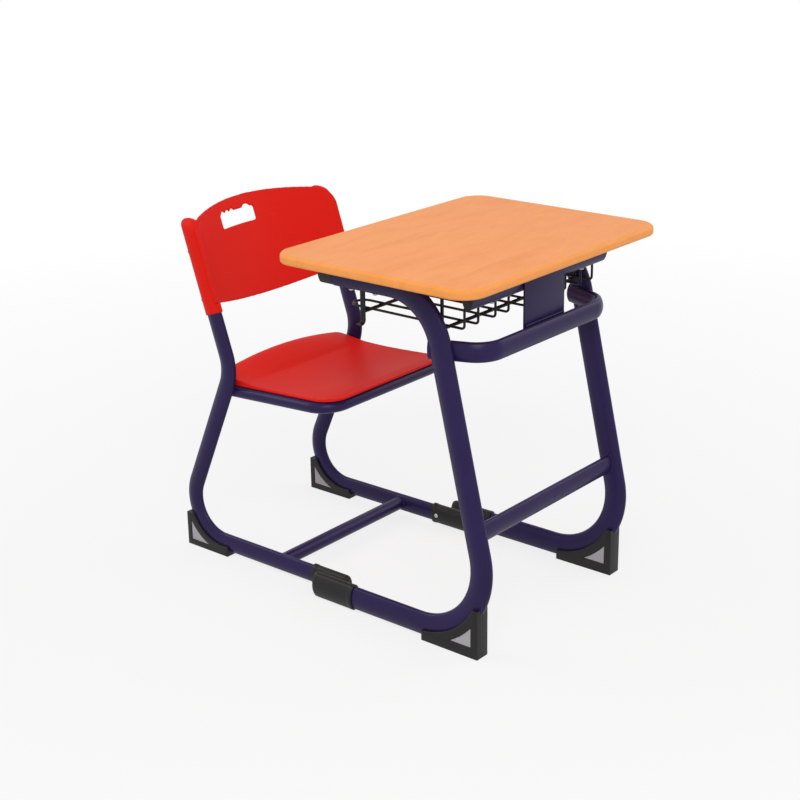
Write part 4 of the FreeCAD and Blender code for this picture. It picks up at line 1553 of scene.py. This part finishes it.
@dataclass
class Seat:
    """The moulded seat: a dished top with a rim that stands on its tube."""

    tubes: ChairFrame
    width: float = 382.0
    depth: float = 335.0
    rear: float = 349.0
    wall: float = 5.0
    lift: float = 0.3
    dish: float = 8.0
    dish_start: float = 70.0
    dish_end: float = 30.0
    crown: float = 20.0
    crown_reach: float = 90.0
    front_corner: float = 50.0
    rear_corner: float = 28.0
    rim_drop: float = 12.0
    rim_start: float = 315.0
    rim_slope: float = 8.0
    voxel: float = 1.6
    rounds: int = 5
    side_line: tuple[tuple[float, float], ...] = (
        (0.0, 11.0), (3.0, 15.5), (9.0, 19.0), (19.0, 20.5), (40.0, 18.5), (70.0, 13.5),
        (105.0, 9.0), (150.0, 6.5), (200.0, 5.5), (250.0, 5.4), (290.0, 5.6), (315.0, 5.8), (335.0, 5.0))
    columns: int = 28
    rows: int = 70
    side_steps: int = 24
    face_inset: float = 0.6
    face_rounding: float = 0.5
    rim_bevel: float = 1.2
    rim_dips: tuple[float, float] = (0.2, 0.4)

    def build(self, finishes: Finishes) -> None:
        """Make the seat.

        Args:
            finishes: The materials.
        """
        outline = self._outline(0.0)
        half = self.columns // 2
        columns = [self.width / 2 * step / half for step in range(1 - half, half)]
        rows = [self.rear - self.depth * step / self.rows for step in range(1, self.rows)]
        form = Form().slab([self._outline(self.face_inset)], self.wall, self.face_rounding, self._place,
                           (columns, rows))
        across_wall = zip(outline, self._outline(self.wall))
        form.loft([self._rim_section(outer, inner) for outer, inner in across_wall], closed=True)
        form.melt(self.voxel, self.rounds)
        form.piece("seat", Slot.SHELL, finishes, ["seat_shell"], MELTED_CREASE)

    def _outline(self, inset: float, per_corner: int = 14) -> list[tuple[float, float]]:
        """The seat's outline from above.

        Args:
            inset: How far inside the seat's edge.
            per_corner: Steps in each corner.

        Returns:
            The outline, with each side cut into short runs.
        """
        half, high, low = self.width / 2, self.rear, self.rear - self.depth
        corners = ((half, high, self.rear_corner), (-half, high, self.rear_corner),
                   (-half, low, self.front_corner), (half, low, self.front_corner))
        points: list[tuple[float, float]] = []
        for quarter, (x, y, radius) in enumerate(corners):
            centre = (x - math.copysign(radius, x), y + (radius if y == low else -radius))
            for step in range(per_corner + 1):
                turn = math.pi / 2 * (quarter + step / per_corner)
                points.append((centre[0] + (radius - inset) * math.cos(turn),
                               centre[1] + (radius - inset) * math.sin(turn)))
        runs: list[tuple[float, float]] = []
        for index, (start, stop) in enumerate(zip(points, points[1:] + points[:1])):
            steps = self.side_steps if index % (per_corner + 1) == per_corner else 1
            runs += [(start[0] + (stop[0] - start[0]) * step / steps,
                      start[1] + (stop[1] - start[1]) * step / steps) for step in range(steps)]
        return runs

    def _line_height(self, reach: float) -> float:
        """Height of the side line over the tube's top.

        Args:
            reach: Distance from the rear edge.

        Returns:
            The height on a smooth curve through the side line.
        """
        line = [self.side_line[0], *self.side_line, self.side_line[-1]]
        reach = min(max(reach, 0.0), self.side_line[-1][0])
        index = next(i for i in range(1, len(line) - 2) if line[i + 1][0] >= reach)
        a, b, c, d = line[index - 1:index + 3]
        span = c[0] - b[0]
        t = (reach - b[0]) / span
        enter = (c[1] - a[1]) / max(span, c[0] - a[0]) * span
        leave = (d[1] - b[1]) / max(span, d[0] - b[0]) * span
        return ((2 * t ** 3 - 3 * t ** 2 + 1) * b[1] + (t ** 3 - 2 * t ** 2 + t) * enter
                + (3 * t ** 2 - 2 * t ** 3) * c[1] + (t ** 3 - t ** 2) * leave)

    def _tube_line(self, y: float) -> float:
        """Height of the top of the seat's tube at y."""
        rise = math.radians(self.tubes.seat_tube_rise)
        return self.tubes.seat_height(y) + self.tubes.seat_tube / 2 / math.cos(rise)

    def _top(self, x: float, y: float) -> float:
        """Height of the seat's top face."""
        reach = self.rear - y
        middle = max(0.0, 1 - (2 * x / self.width) ** 2)
        share = (reach - self.dish_start) / (self.depth - self.dish_start - self.dish_end)
        hollow = self.dish * middle * math.sin(math.pi * min(1.0, max(0.0, share)))
        raised = self.crown * middle * max(0.0, 1 - reach / self.crown_reach)
        return self._tube_line(y) + self._line_height(reach) + self.lift + raised - hollow

    def _rim_foot(self, y: float) -> float:
        """Height of the rim's lower edge, which steps down behind the tube."""
        share = (y - self.rim_start + self.rim_slope) / self.rim_slope
        step = min(1.0, max(0.0, share))
        return self._tube_line(y) + self.lift - step * (self.rim_drop + self.lift)

    def _rim_section(self, outer: tuple[float, float], inner: tuple[float, float]) -> Ring:
        """One upright section through the rim.

        Args:
            outer: Point on the seat's edge.
            inner: The point across the wall from it.

        Returns:
            The corners of the section.
        """
        (x, y), (u, v) = outer, inner
        bevel = self.rim_bevel
        slip_x, slip_y = (u - x) * bevel / self.wall, (v - y) * bevel / self.wall
        top, foot = self._top(x, y), self._rim_foot(y)
        return [at(u, v, foot), at(x + slip_x, y + slip_y, foot), at(x, y, foot + bevel),
                at(x, y, top - bevel), at(x + slip_x, y + slip_y, top - self.rim_dips[0]),
                at(u, v, self._top(u, v) - self.rim_dips[1])]

    def _place(self, u: float, v: float, w: float) -> Vector:
        """Where a point of the flat seat ends up.

        Args:
            u: Place across.
            v: Place along.
            w: Place across the thickness.

        Returns:
            The point.
        """
        return at(u, v, self._top(u, v) + w - self.wall / 2)


# ------------------------------------------------------------------ backrest


@dataclass
class Backrest:
    """The curved back with pockets over the uprights and a carrying slot."""

    wall: float = 5.0
    low: float = 587.0
    sag: float = 31.0
    high: float = 768.0
    crown: float = 11.0
    corner: float = 41.0
    hollow: float = 52.0
    sleeve_wall: float = 2.5
    sleeve_gap: float = 0.3
    sleeve_low: float = 558.0
    sleeve_corner: float = 28.0
    sleeve_dome: float = 9.0
    slot_x: float = -41.0
    slot_width: float = 112.0
    slot_height: float = 30.0
    slot_drop: float = 44.0
    slot_corner: float = 5.0
    scallop: float = 7.5
    scallops: int = 3
    scallop_inset: float = 11.2
    scallop_pitch: float = 16.1
    scallop_drop: float = 3.0
    thumb: float = 15.4
    thumb_inset: float = 6.0
    thumb_drop: float = 9.0
    edge_flat: float = 0.2
    edge_steps: int = 60
    columns: int = 52
    rows: int = 18
    row_pitch: float = 12.0
    voxel: float = 1.6
    rounds: int = 5

    @property
    def half(self) -> float:
        """Half width over the pockets."""
        return PLAN.chair_frame_x + PLAN.chair_tube[0] / 2 + self.sleeve_gap + self.sleeve_wall

    @property
    def forward(self) -> Vector:
        """Square to the uprights, towards the sitter."""
        lean = math.radians(PLAN.chair_lean)
        return at(0.0, -math.cos(lean), math.sin(lean))

    def build(self, finishes: Finishes) -> None:
        """Make the back.

        Args:
            finishes: The materials.
        """
        half = self.columns // 2
        columns = [self.half * step / half for step in range(1 - half, half)]
        rows = [self.low - self.sag + self.row_pitch * step for step in range(1, self.rows)]
        form = Form().slab([self._outline(), self._slot()], self.wall, self.wall / 2 - self.edge_flat,
                           self._place, (columns, rows))
        for side in Side:
            self._sleeve(form, side)
        form.melt(self.voxel, self.rounds)
        form.piece("backrest", Slot.SHELL, finishes, ["backrest_shell"], MELTED_CREASE)

    def _edge_height(self, x: float, corner: float) -> float:
        """Height of the top edge at x, for a corner radius."""
        shoulder = self.high - self.crown
        flat = self.half - corner
        reach = abs(x) - flat
        if reach > 0:
            return shoulder - corner + math.sqrt(max(0.0, corner ** 2 - reach ** 2))
        return shoulder + self.crown * (1 - (x / flat) ** 2)

    def _outline(self) -> list[tuple[float, float]]:
        """The back seen from the front.

        Returns:
            The outline, as x and z.
        """
        count = self.edge_steps
        across = [self.half * math.sin(math.pi / 2 * (2 * step / count - 1)) for step in range(count + 1)]
        top = [(x, self._edge_height(x, self.corner)) for x in reversed(across)]
        bottom = [(x, self.low - self.sag * (1 - (x / self.half) ** 2)) for x in across]
        return bottom + top

    def _slot(self) -> list[tuple[float, float]]:
        """The carrying slot, with a scalloped upper edge and a thumb arch.

        Returns:
            The outline, as x and z.
        """
        middle = self.high - self.slot_drop
        low, high = middle - self.slot_height / 2, middle + self.slot_height / 2
        left, right = self.slot_x - self.slot_width / 2, self.slot_x + self.slot_width / 2
        radius = self.slot_corner

        def corner(u: float, v: float, quarter: int) -> list[tuple[float, float]]:
            """A quarter circle round its centre, counted from the right."""
            return [(u + radius * math.cos(turn), v + radius * math.sin(turn))
                    for turn in (math.pi / 2 * (quarter + step / 5) for step in range(6))]

        points = corner(left + radius, low + radius, 2)
        points += corner(right - radius, low + radius, 3)
        points += corner(right - radius, high - radius, 0)
        points += self._bump(right - self.thumb_inset - self.thumb, high - self.thumb_drop, self.thumb, high)
        for index in reversed(range(self.scallops)):
            centre = left + self.scallop_inset + self.scallop_pitch * index
            points += self._bump(centre, high - self.scallop_drop, self.scallop, high)
        return points + corner(left + radius, high - radius, 1)

    @staticmethod
    def _bump(u: float, v: float, radius: float, base: float) -> list[tuple[float, float]]:
        """The part of a circle that stands over a line, from right to left.

        Args:
            u: Centre.
            v: Centre height.
            radius: Of the circle.
            base: Height of the line.

        Returns:
            The points.
        """
        start = math.asin((base - v) / radius)
        return [(u + radius * math.cos(turn), v + radius * math.sin(turn))
                for turn in (start + (math.pi - 2 * start) * step / 10 for step in range(11))]

    def _reach(self, x: float) -> float:
        """How far in front of the uprights the middle of the wall lies at x."""
        edge = PLAN.chair_tube[1] / 2 + self.sleeve_gap + self.sleeve_wall - self.wall / 2
        return edge - self.hollow * (1 - (x / PLAN.chair_frame_x) ** 2)

    def _place(self, u: float, v: float, w: float) -> Vector:
        """Where a point of the flat back ends up.

        Args:
            u: Place across.
            v: Height seen from the front.
            w: Place across the wall.

        Returns:
            The point.
        """
        reach = self._reach(u)
        lean = math.radians(PLAN.chair_lean)
        along = PLAN.upright(v - reach * math.sin(lean))
        slope = 2 * self.hollow * u / PLAN.chair_frame_x ** 2
        across = (X + self.forward * slope).normalized()
        normal = across.cross(at(0.0, math.sin(lean), math.cos(lean))).normalized()
        return along + X * u + self.forward * reach + normal * w

    def _sleeve(self, form: Form, side: Side) -> None:
        """Add the pocket over one upright.

        Args:
            form: The form that takes it.
            side: Which side.
        """
        x = side.value * PLAN.chair_frame_x
        lean = math.radians(PLAN.chair_lean)
        axis = at(0.0, math.sin(lean), math.cos(lean))
        grow = 2 * (self.sleeve_gap + self.sleeve_wall)
        profile = oval(PLAN.chair_tube[0] + grow, PLAN.chair_tube[1] + grow)
        middle = PLAN.upright(self.sleeve_low) + X * x
        foot = section_at(Station(middle, axis), profile, X)
        rings = [foot]
        for turn in turns(6)[:-1]:
            shrink = self.sleeve_dome * (1 - math.cos(turn)) / (PLAN.chair_tube[0] / 2)
            drop = self.sleeve_dome * (1 - math.sin(turn))
            ring = []
            for start in foot:
                point = start.lerp(middle, shrink)
                rise = self._edge_height(point.x, self.sleeve_corner) - drop - point.z
                ring.append(point + axis * (rise / axis.z))
            rings.append(ring)
        form.loft(rings)


# ------------------------------------------------------------------ couplers and shoes


@dataclass
class Coupler:
    """The moulded block that ties a desk rail to a chair rail."""

    wall: float = 3.0
    desk_socket: tuple[float, float] = (-79.0, 31.0)
    chair_socket: tuple[float, float] = (-35.0, 63.0)
    web: float = 34.0
    web_margin: float = 4.0
    web_rounding: float = 2.0
    collar: float = 9.0
    collar_rise: float = 0.9
    collar_slope: float = 2.0
    nose: float = 9.0
    nose_share: float = 0.55
    floor_relief: float = 0.6
    voxel: float = 1.1
    rounds: int = 6

    def build(self, finishes: Finishes) -> None:
        """Make both couplers.

        Args:
            finishes: The materials.
        """
        for side in Side:
            form = Form()
            self._barrel(form, side, PLAN.desk_frame_x, PLAN.desk_tube, self.desk_socket, -1)
            self._barrel(form, side, PLAN.chair_frame_x, PLAN.chair_tube, self.chair_socket, 1)
            near, far = PLAN.chair_frame_x, PLAN.desk_frame_x
            low, high = PLAN.rail_height - self.web / 2, PLAN.rail_height + self.web / 2
            outline = [(near, low), (far, low), (far, high), (near, high)]
            start, stop = self.chair_socket[0] + self.web_margin, self.desk_socket[1] - self.web_margin
            form.slab([outline], stop - start, self.web_rounding,
                      lambda u, v, w: at(side.value * u, (start + stop) / 2 + w, v))
            form.melt(self.voxel, self.rounds)
            form.piece("coupler_" + side.label, Slot.MOULDING, finishes, ["rail_coupler_" + side.label],
                       MELTED_CREASE)

    def _barrel(self, form: Form, side: Side, x: float, tube: tuple[float, float],
                span: tuple[float, float], mouth: int) -> None:
        """Add one socket, with a closed rounded end and a collar at its mouth.

        Args:
            form: The form that takes it.
            side: Which side.
            x: Centre of the rail across.
            tube: The rail's section.
            span: Where the socket starts and stops.
            mouth: 1 where it opens to the rear and -1 to the front.
        """
        across, along = (size + 2 * self.wall for size in tube)
        opening, closed = (span[1], span[0]) if mouth > 0 else (span[0], span[1])
        tallest = 2 * PLAN.rail_height - self.floor_relief
        rise, nose = self.collar_rise, self.nose
        stops = [(opening, rise), (opening - mouth * self.collar, rise),
                 (opening - mouth * (self.collar + self.collar_slope), 0.0)]
        for turn in turns(8):
            stops.append((closed + mouth * nose * (1 - math.sin(turn)),
                          -nose * self.nose_share * (1 - math.cos(turn))))
        rings = [section_at(Station(at(side.value * x, y, PLAN.rail_height), Y),
                            oval(across + 2 * grow, min(along + 2 * grow, tallest)), X)
                 for y, grow in stops]
        form.loft(rings)


@dataclass
class Shoe:
    """A moulded shoe under a bend, with a triangular inset."""

    name: str
    node: str
    inset_node: str
    x: float
    bend: tuple[float, float]
    bend_radius: float
    face: float
    outward: int
    width: float
    tip: float
    top: float
    cover: float
    tube_depth: float
    rim: float
    sill: float
    margin: float = 2.0
    rounding: float = 1.8
    recess: float = 1.0
    inset_gap: float = 0.25
    inset_rounding: float = 0.8

    def build(self, finishes: Finishes) -> None:
        """Make the shoe and its inset on both sides.

        Args:
            finishes: The materials.
        """
        outline, inset = self._outline(), self._inset(0.0)
        plug = self._inset(self.inset_gap)
        for side in Side:
            def place(u: float, v: float, w: float) -> Vector:
                """Set the side view across the tube."""
                return at(side.value * self.x + w, u, v)

            form = Form().slab([outline, inset], self.width, self.rounding, place)
            form.piece(f"{self.name}_{side.label}", Slot.MOULDING, finishes,
                       [f"{self.node}_{side.label}"], CAST_CREASE)
            form = Form().slab([plug], self.width - 2 * self.recess, self.inset_rounding, place)
            form.piece(f"{self.name}_inset_{side.label}", Slot.INSET, finishes,
                       [f"{self.inset_node}_{side.label}"], CAST_CREASE)

    def _arc(self, radius: float, low: float, high: float, count: int) -> list[tuple[float, float]]:
        """Points round the bend's centre.

        Args:
            radius: From the centre.
            low: First angle below the level, in radians.
            high: Last angle.
            count: Number of steps.

        Returns:
            Points as y and z.
        """
        y, z = self.bend
        return [(y + self.outward * radius * math.cos(turn), z - radius * math.sin(turn))
                for turn in (low + (high - low) * step / count for step in range(count + 1))]

    def _outline(self) -> list[tuple[float, float]]:
        """Side view of the shoe.

        Returns:
            The outline, as y and z.
        """
        radius = self.bend_radius + self.cover
        y, z = self.bend
        start = math.asin((z - self.top) / radius)
        tip_y = self.face - self.outward * self.tip
        stop = math.acos(max(-1.0, min(1.0, (tip_y - y) * self.outward / radius)))
        arc = self._arc(radius, start, stop, 28)
        nose = [(self.face, self.top), (self.face, 0.0), (tip_y, 0.0)]
        return nose + arc[::-1]

    def _inset(self, shrink: float) -> list[tuple[float, float]]:
        """Side view of the inset.

        Args:
            shrink: How far inside its opening.

        Returns:
            The outline, as y and z.
        """
        radius = self.bend_radius + self.tube_depth / 2 + self.margin + shrink
        rim_y = self.face - self.outward * (self.rim + shrink)
        sill = self.sill + shrink
        y, z = self.bend
        start = math.acos((rim_y - y) * self.outward / radius)
        stop = math.asin((z - sill) / radius)
        return [(rim_y, sill)] + self._arc(radius, start, stop, 14)


# ------------------------------------------------------------------ fasteners


@dataclass(frozen=True)
class Head:
    """The domed head of a screw or a rivet. Shares are of its radius or its height."""

    radius: float
    height: float
    recessed: bool = True
    sink: float = 0.6
    stem_share: float = 0.6
    brim_share: float = 0.3
    crown_share: float = 0.45
    cross_hub: float = 0.14
    cross_arm: float = 0.34
    cross_floor: float = 0.35
    cross_taper: float = 0.7
    centre_share: float = 0.2

    def add(self, form: Form, foot: Vector, out: Vector) -> None:
        """Add the head to a form.

        Args:
            form: The form that takes it.
            foot: Where the head's underside meets its seat.
            out: The way the head faces.
        """
        side = out.orthogonal().normalized()
        other = out.cross(side)

        def ring(lift: float, size: Callable[[float], float]) -> Ring:
            """Points round the head's axis."""
            return [foot + out * lift + (side * math.cos(turn) + other * math.sin(turn)) * size(turn)
                    for turn in turns(HEAD_POINTS, 2 * math.pi)[:-1]]

        def plain(share: float) -> Callable[[float], float]:
            """A round ring, as a share of the radius."""
            return lambda turn: self.radius * share

        def cross(turn: float) -> float:
            """Outline of a cross recess."""
            return self.radius * (self.cross_hub + self.cross_arm * abs(math.cos(2 * turn)) ** 5)

        rings = [ring(-self.sink, plain(self.stem_share)), ring(0.0, plain(1.0)),
                 ring(self.height * self.brim_share, plain(1.0))]
        for bow in turns(6)[1:-1]:
            rings.append(ring(self.height * (self.brim_share + (1 - self.brim_share) * math.sin(bow)),
                              plain(self.crown_share + (1 - self.crown_share) * math.cos(bow))))
        if self.recessed:
            rings += [ring(self.height, cross),
                      ring(self.height * self.cross_floor, lambda turn: cross(turn) * self.cross_taper)]
        else:
            rings.append(ring(self.height, plain(self.centre_share)))
        form.loft(rings)


@dataclass
class Fasteners:
    """Screws and rivets, each set of them one piece."""

    seat: Seat
    back: Backrest
    coupler: Coupler
    desk: DeskFrame
    rail_offset: float = 150.0
    frame_places: tuple[float, float] = (-90.0, -150.0)
    frame_head: Head = Head(5.0, 3.2)
    frame_sink: float = 0.4
    seat_places: tuple[float, float] = (110.0, 235.0)
    seat_inset: float = 5.0
    seat_head: Head = Head(4.5, 3.6)
    seat_sink: float = 1.3
    coupler_head: Head = Head(5.0, 2.8)
    rivet_heights: tuple[float, float] = (590.0, 690.0)
    rivet_head: Head = Head(4.75, 2.2, recessed=False)
    rivet_sink: float = 0.3

    def build(self, finishes: Finishes) -> None:
        """Make every set.

        Args:
            finishes: The materials.
        """
        self._desktop().piece("desktop_screw_set", Slot.FASTENER, finishes, ["desktop_screws"], HEAD_CREASE)
        self._seat().piece("seat_screw_set", Slot.FASTENER, finishes, ["seat_screws"], HEAD_CREASE)
        self._coupler().piece("coupler_screw_set", Slot.FASTENER, finishes, ["coupler_screws"], HEAD_CREASE)
        self._rivets().piece("backrest_rivet_set", Slot.RIVET, finishes, ["backrest_rivets"], HEAD_CREASE)

    def _desktop(self) -> Form:
        """Screws up into the desktop.

        Returns:
            The form.
        """
        form = Form()
        for side in Side:
            for y in self.frame_places:
                foot = at(side.value * PLAN.desk_frame_x, y, PLAN.underside - PLAN.desk_tube[1])
                self.frame_head.add(form, foot + Z * self.frame_sink, -Z)
            foot = at(side.value * self.rail_offset, self.desk.front_rail_y,
                      PLAN.underside - self.desk.front_rail[0])
            self.frame_head.add(form, foot + Z * self.frame_sink, -Z)
        return form

    def _seat(self) -> Form:
        """Screws up into the seat.

        Returns:
            The form.
        """
        form = Form()
        tubes = self.seat.tubes
        x = tubes.seat_tube_spacing / 2 - self.seat_inset
        for side in Side:
            for y in self.seat_places:
                foot = at(side.value * x, y, tubes.seat_height(y) - tubes.seat_tube / 2)
                self.seat_head.add(form, foot + Z * self.seat_sink, -Z)
        return form

    def _coupler(self) -> Form:
        """Screws that lock the rails in the couplers.

        Returns:
            The form.
        """
        form = Form()
        desk, chair = self.coupler.desk_socket, self.coupler.chair_socket
        sockets = ((PLAN.desk_frame_x, PLAN.desk_tube, (desk[0] + chair[0]) / 2),
                   (PLAN.chair_frame_x, PLAN.chair_tube, (chair[1] + desk[1]) / 2))
        for side in Side:
            for x, tube, y in sockets:
                foot = at(side.value * (x - tube[0] / 2 - self.coupler.wall), y, PLAN.rail_height)
                self.coupler_head.add(form, foot, X * -side.value)
        return form

    def _rivets(self) -> Form:
        """Rivets through the back of the pockets.

        Returns:
            The form.
        """
        form = Form()
        face = PLAN.chair_tube[1] / 2 + self.back.sleeve_gap + self.back.sleeve_wall
        for side in Side:
            for height in self.rivet_heights:
                middle = PLAN.upright(height) + X * (side.value * PLAN.chair_frame_x)
                foot = middle - self.back.forward * (face - self.rivet_sink)
                self.rivet_head.add(form, foot, -self.back.forward)
        return form


# ------------------------------------------------------------------ studio


@dataclass
class Studio:
    """Pale floor, soft light and the camera."""

    azimuth: float = -50.21
    elevation: float = 19.73
    roll: float = -0.88
    lens: float = 72.0
    camera_place: tuple[float, float, float] = (-2.4531, -2.0527, 1.5232)
    floor_colour: float = 0.72
    floor_glow: float = 0.78
    fade_start: float = 0.9
    fade_length: float = 2.2
    floor_half: float = 30.0
    ambient: float = 0.62
    cloud_scale: float = 1.5
    cloud_detail: float = 2.0
    cloud_depth: float = 0.006
    lamp_target: tuple[float, float, float] = (0.0, 0.0, 0.45)
    lamps: tuple[tuple[str, tuple[float, ...], tuple[float, float], float], ...] = (
        ("key_softbox", (-2.4, -2.2, 3.0), (1.8, 1.8), 62.0),
        ("fill_softbox", (2.8, -1.8, 2.2), (2.0, 2.0), 22.0),
        ("rear_softbox", (-1.4, 2.8, 2.4), (1.8, 1.4), 26.0))

    def build(self) -> None:
        """Set the whole studio up."""
        self._camera()
        self._world()
        self._floor()
        for lamp in self.lamps:
            self._lamp(*lamp)
        bpy.context.scene.view_settings.view_transform = "Standard"

    def _camera(self) -> None:
        """Place the camera."""
        data = bpy.data.cameras.new("camera")
        data.lens = self.lens
        data.sensor_width = 36.0
        camera = bpy.data.objects.new("camera", data)
        bpy.context.scene.collection.objects.link(camera)
        turn = (Matrix.Rotation(math.radians(self.azimuth), 4, "Z")
                @ Matrix.Rotation(math.radians(90 - self.elevation), 4, "X")
                @ Matrix.Rotation(math.radians(self.roll), 4, "Z"))
        camera.matrix_world = Matrix.Translation(self.camera_place) @ turn
        bpy.context.scene.camera = camera

    def _world(self) -> None:
        """White to the camera and in reflections, and softer as a light."""
        world = bpy.data.worlds.new("studio")
        world.use_nodes = True
        bpy.context.scene.world = world
        tree = world.node_tree
        tree.nodes.clear()
        path = tree.nodes.new("ShaderNodeLightPath")
        seen = tree.nodes.new("ShaderNodeMath")
        seen.operation = "MAXIMUM"
        tree.links.new(path.outputs["Is Camera Ray"], seen.inputs[0])
        tree.links.new(path.outputs["Is Transmission Ray"], seen.inputs[1])
        shown = tree.nodes.new("ShaderNodeMath")
        shown.operation = "MAXIMUM"
        tree.links.new(seen.outputs[0], shown.inputs[0])
        tree.links.new(path.outputs["Is Glossy Ray"], shown.inputs[1])
        level = tree.nodes.new("ShaderNodeMapRange")
        level.inputs["To Min"].default_value = self.ambient
        level.inputs["To Max"].default_value = 1.0
        tree.links.new(shown.outputs[0], level.inputs["Value"])
        sky = tree.nodes.new("ShaderNodeBackground")
        sky.inputs["Color"].default_value = (1.0, 1.0, 1.0, 1.0)
        tree.links.new(level.outputs[0], sky.inputs["Strength"])
        output = tree.nodes.new("ShaderNodeOutputWorld")
        tree.links.new(sky.outputs[0], output.inputs["Surface"])

    def _floor(self) -> None:
        """A wide pale floor that keeps the object's shadow."""
        graph = Graph("studio_floor")
        camera = graph.node("ShaderNodeLightPath", {}, {}, "Is Camera Ray")
        glossy = graph.node("ShaderNodeLightPath", {}, {}, "Is Glossy Ray")
        reach = graph.node("ShaderNodeVectorMath", {"operation": "LENGTH"}, {0: graph.coordinates()}, "Value")
        fade = ((reach - self.fade_start) / self.fade_length).clamped()
        share = (camera + glossy).clamped() * (self.floor_glow + fade * (1.0 - self.floor_glow))
        cloud = graph.noise(self.cloud_scale, self.cloud_detail)
        tone = graph.mix(self.floor_colour + (cloud - 0.5) * self.cloud_depth,
                         (0.0, 0.0, 0.0), (1.0, 1.0, 1.0))
        matt = graph.node("ShaderNodeBsdfDiffuse", {}, {"Color": tone})
        glow = graph.node("ShaderNodeEmission", {}, {"Color": (1.0, 1.0, 1.0, 1.0), "Strength": 1.0})
        both = graph.node("ShaderNodeMixShader", {}, {0: share, 1: matt, 2: glow})
        graph.tree.links.new(both.socket, graph.output.inputs["Surface"])
        mesh = bpy.data.meshes.new("studio_floor")
        half = self.floor_half
        corners = [(-half, -half, 0), (half, -half, 0), (half, half, 0), (-half, half, 0)]
        mesh.from_pydata(corners, [], [(0, 1, 2, 3)])
        mesh.materials.append(graph.material)
        floor = bpy.data.objects.new("studio_floor", mesh)
        bpy.context.scene.collection.objects.link(floor)

    def _lamp(self, name: str, place: Sequence[float], size: Sequence[float], power: float) -> None:
        """Add a softbox that faces the desk chair.

        Args:
            name: The lamp's name.
            place: Where it stands, in metres.
            size: Its width and height, in metres.
            power: In watts.
        """
        data = bpy.data.lights.new(name, "AREA")
        data.shape = "RECTANGLE"
        data.size, data.size_y = size
        data.energy = power
        lamp = bpy.data.objects.new(name, data)
        bpy.context.scene.collection.objects.link(lamp)
        lamp.location = place
        lamp.rotation_mode = "QUATERNION"
        lamp.rotation_quaternion = (Vector(self.lamp_target) - Vector(place)).to_track_quat("-Z", "Y")


# ------------------------------------------------------------------ assembly


def shoes() -> list[Shoe]:
    """The front and the rear shoes.

    Returns:
        Both kinds.
    """
    front = Shoe("front_foot", "front_shoe", "front_shoe_inset", x=PLAN.desk_frame_x,
                 bend=PLAN.desk_bend, bend_radius=PLAN.desk_lower_radius,
                 face=PLAN.desk_bend[0] - PLAN.desk_lower_radius - SHOE_FACE, outward=-1, width=36.0,
                 tip=138.5, top=104.0, cover=8.0, tube_depth=PLAN.desk_tube[1], rim=16.0, sill=23.0)
    rear = Shoe("rear_foot", "rear_shoe", "rear_shoe_inset", x=PLAN.chair_frame_x,
                bend=PLAN.chair_bend, bend_radius=PLAN.chair_lower_radius,
                face=PLAN.rear_edge - SHOE_FACE, outward=1, width=30.0,
                tip=123.0, top=78.0, cover=6.0, tube_depth=PLAN.chair_tube[1], rim=13.0, sill=14.0)
    return [front, rear]


def main() -> None:
    """Build the desk chair and its studio."""
    logging.basicConfig(level=logging.INFO, format="%(name)s %(message)s")
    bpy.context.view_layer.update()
    finishes = Finishes()
    desk = DeskFrame()
    chair = ChairFrame()
    seat = Seat(chair)
    back = Backrest()
    coupler = Coupler()
    for part in (Desktop(), desk, Basket(), chair, seat, back, coupler, *shoes(),
                 Fasteners(seat, back, coupler, desk)):
        log.info("building %s", type(part).__name__)
        part.build(finishes)
    Studio().build()


if __name__ == "__main__":
    main()
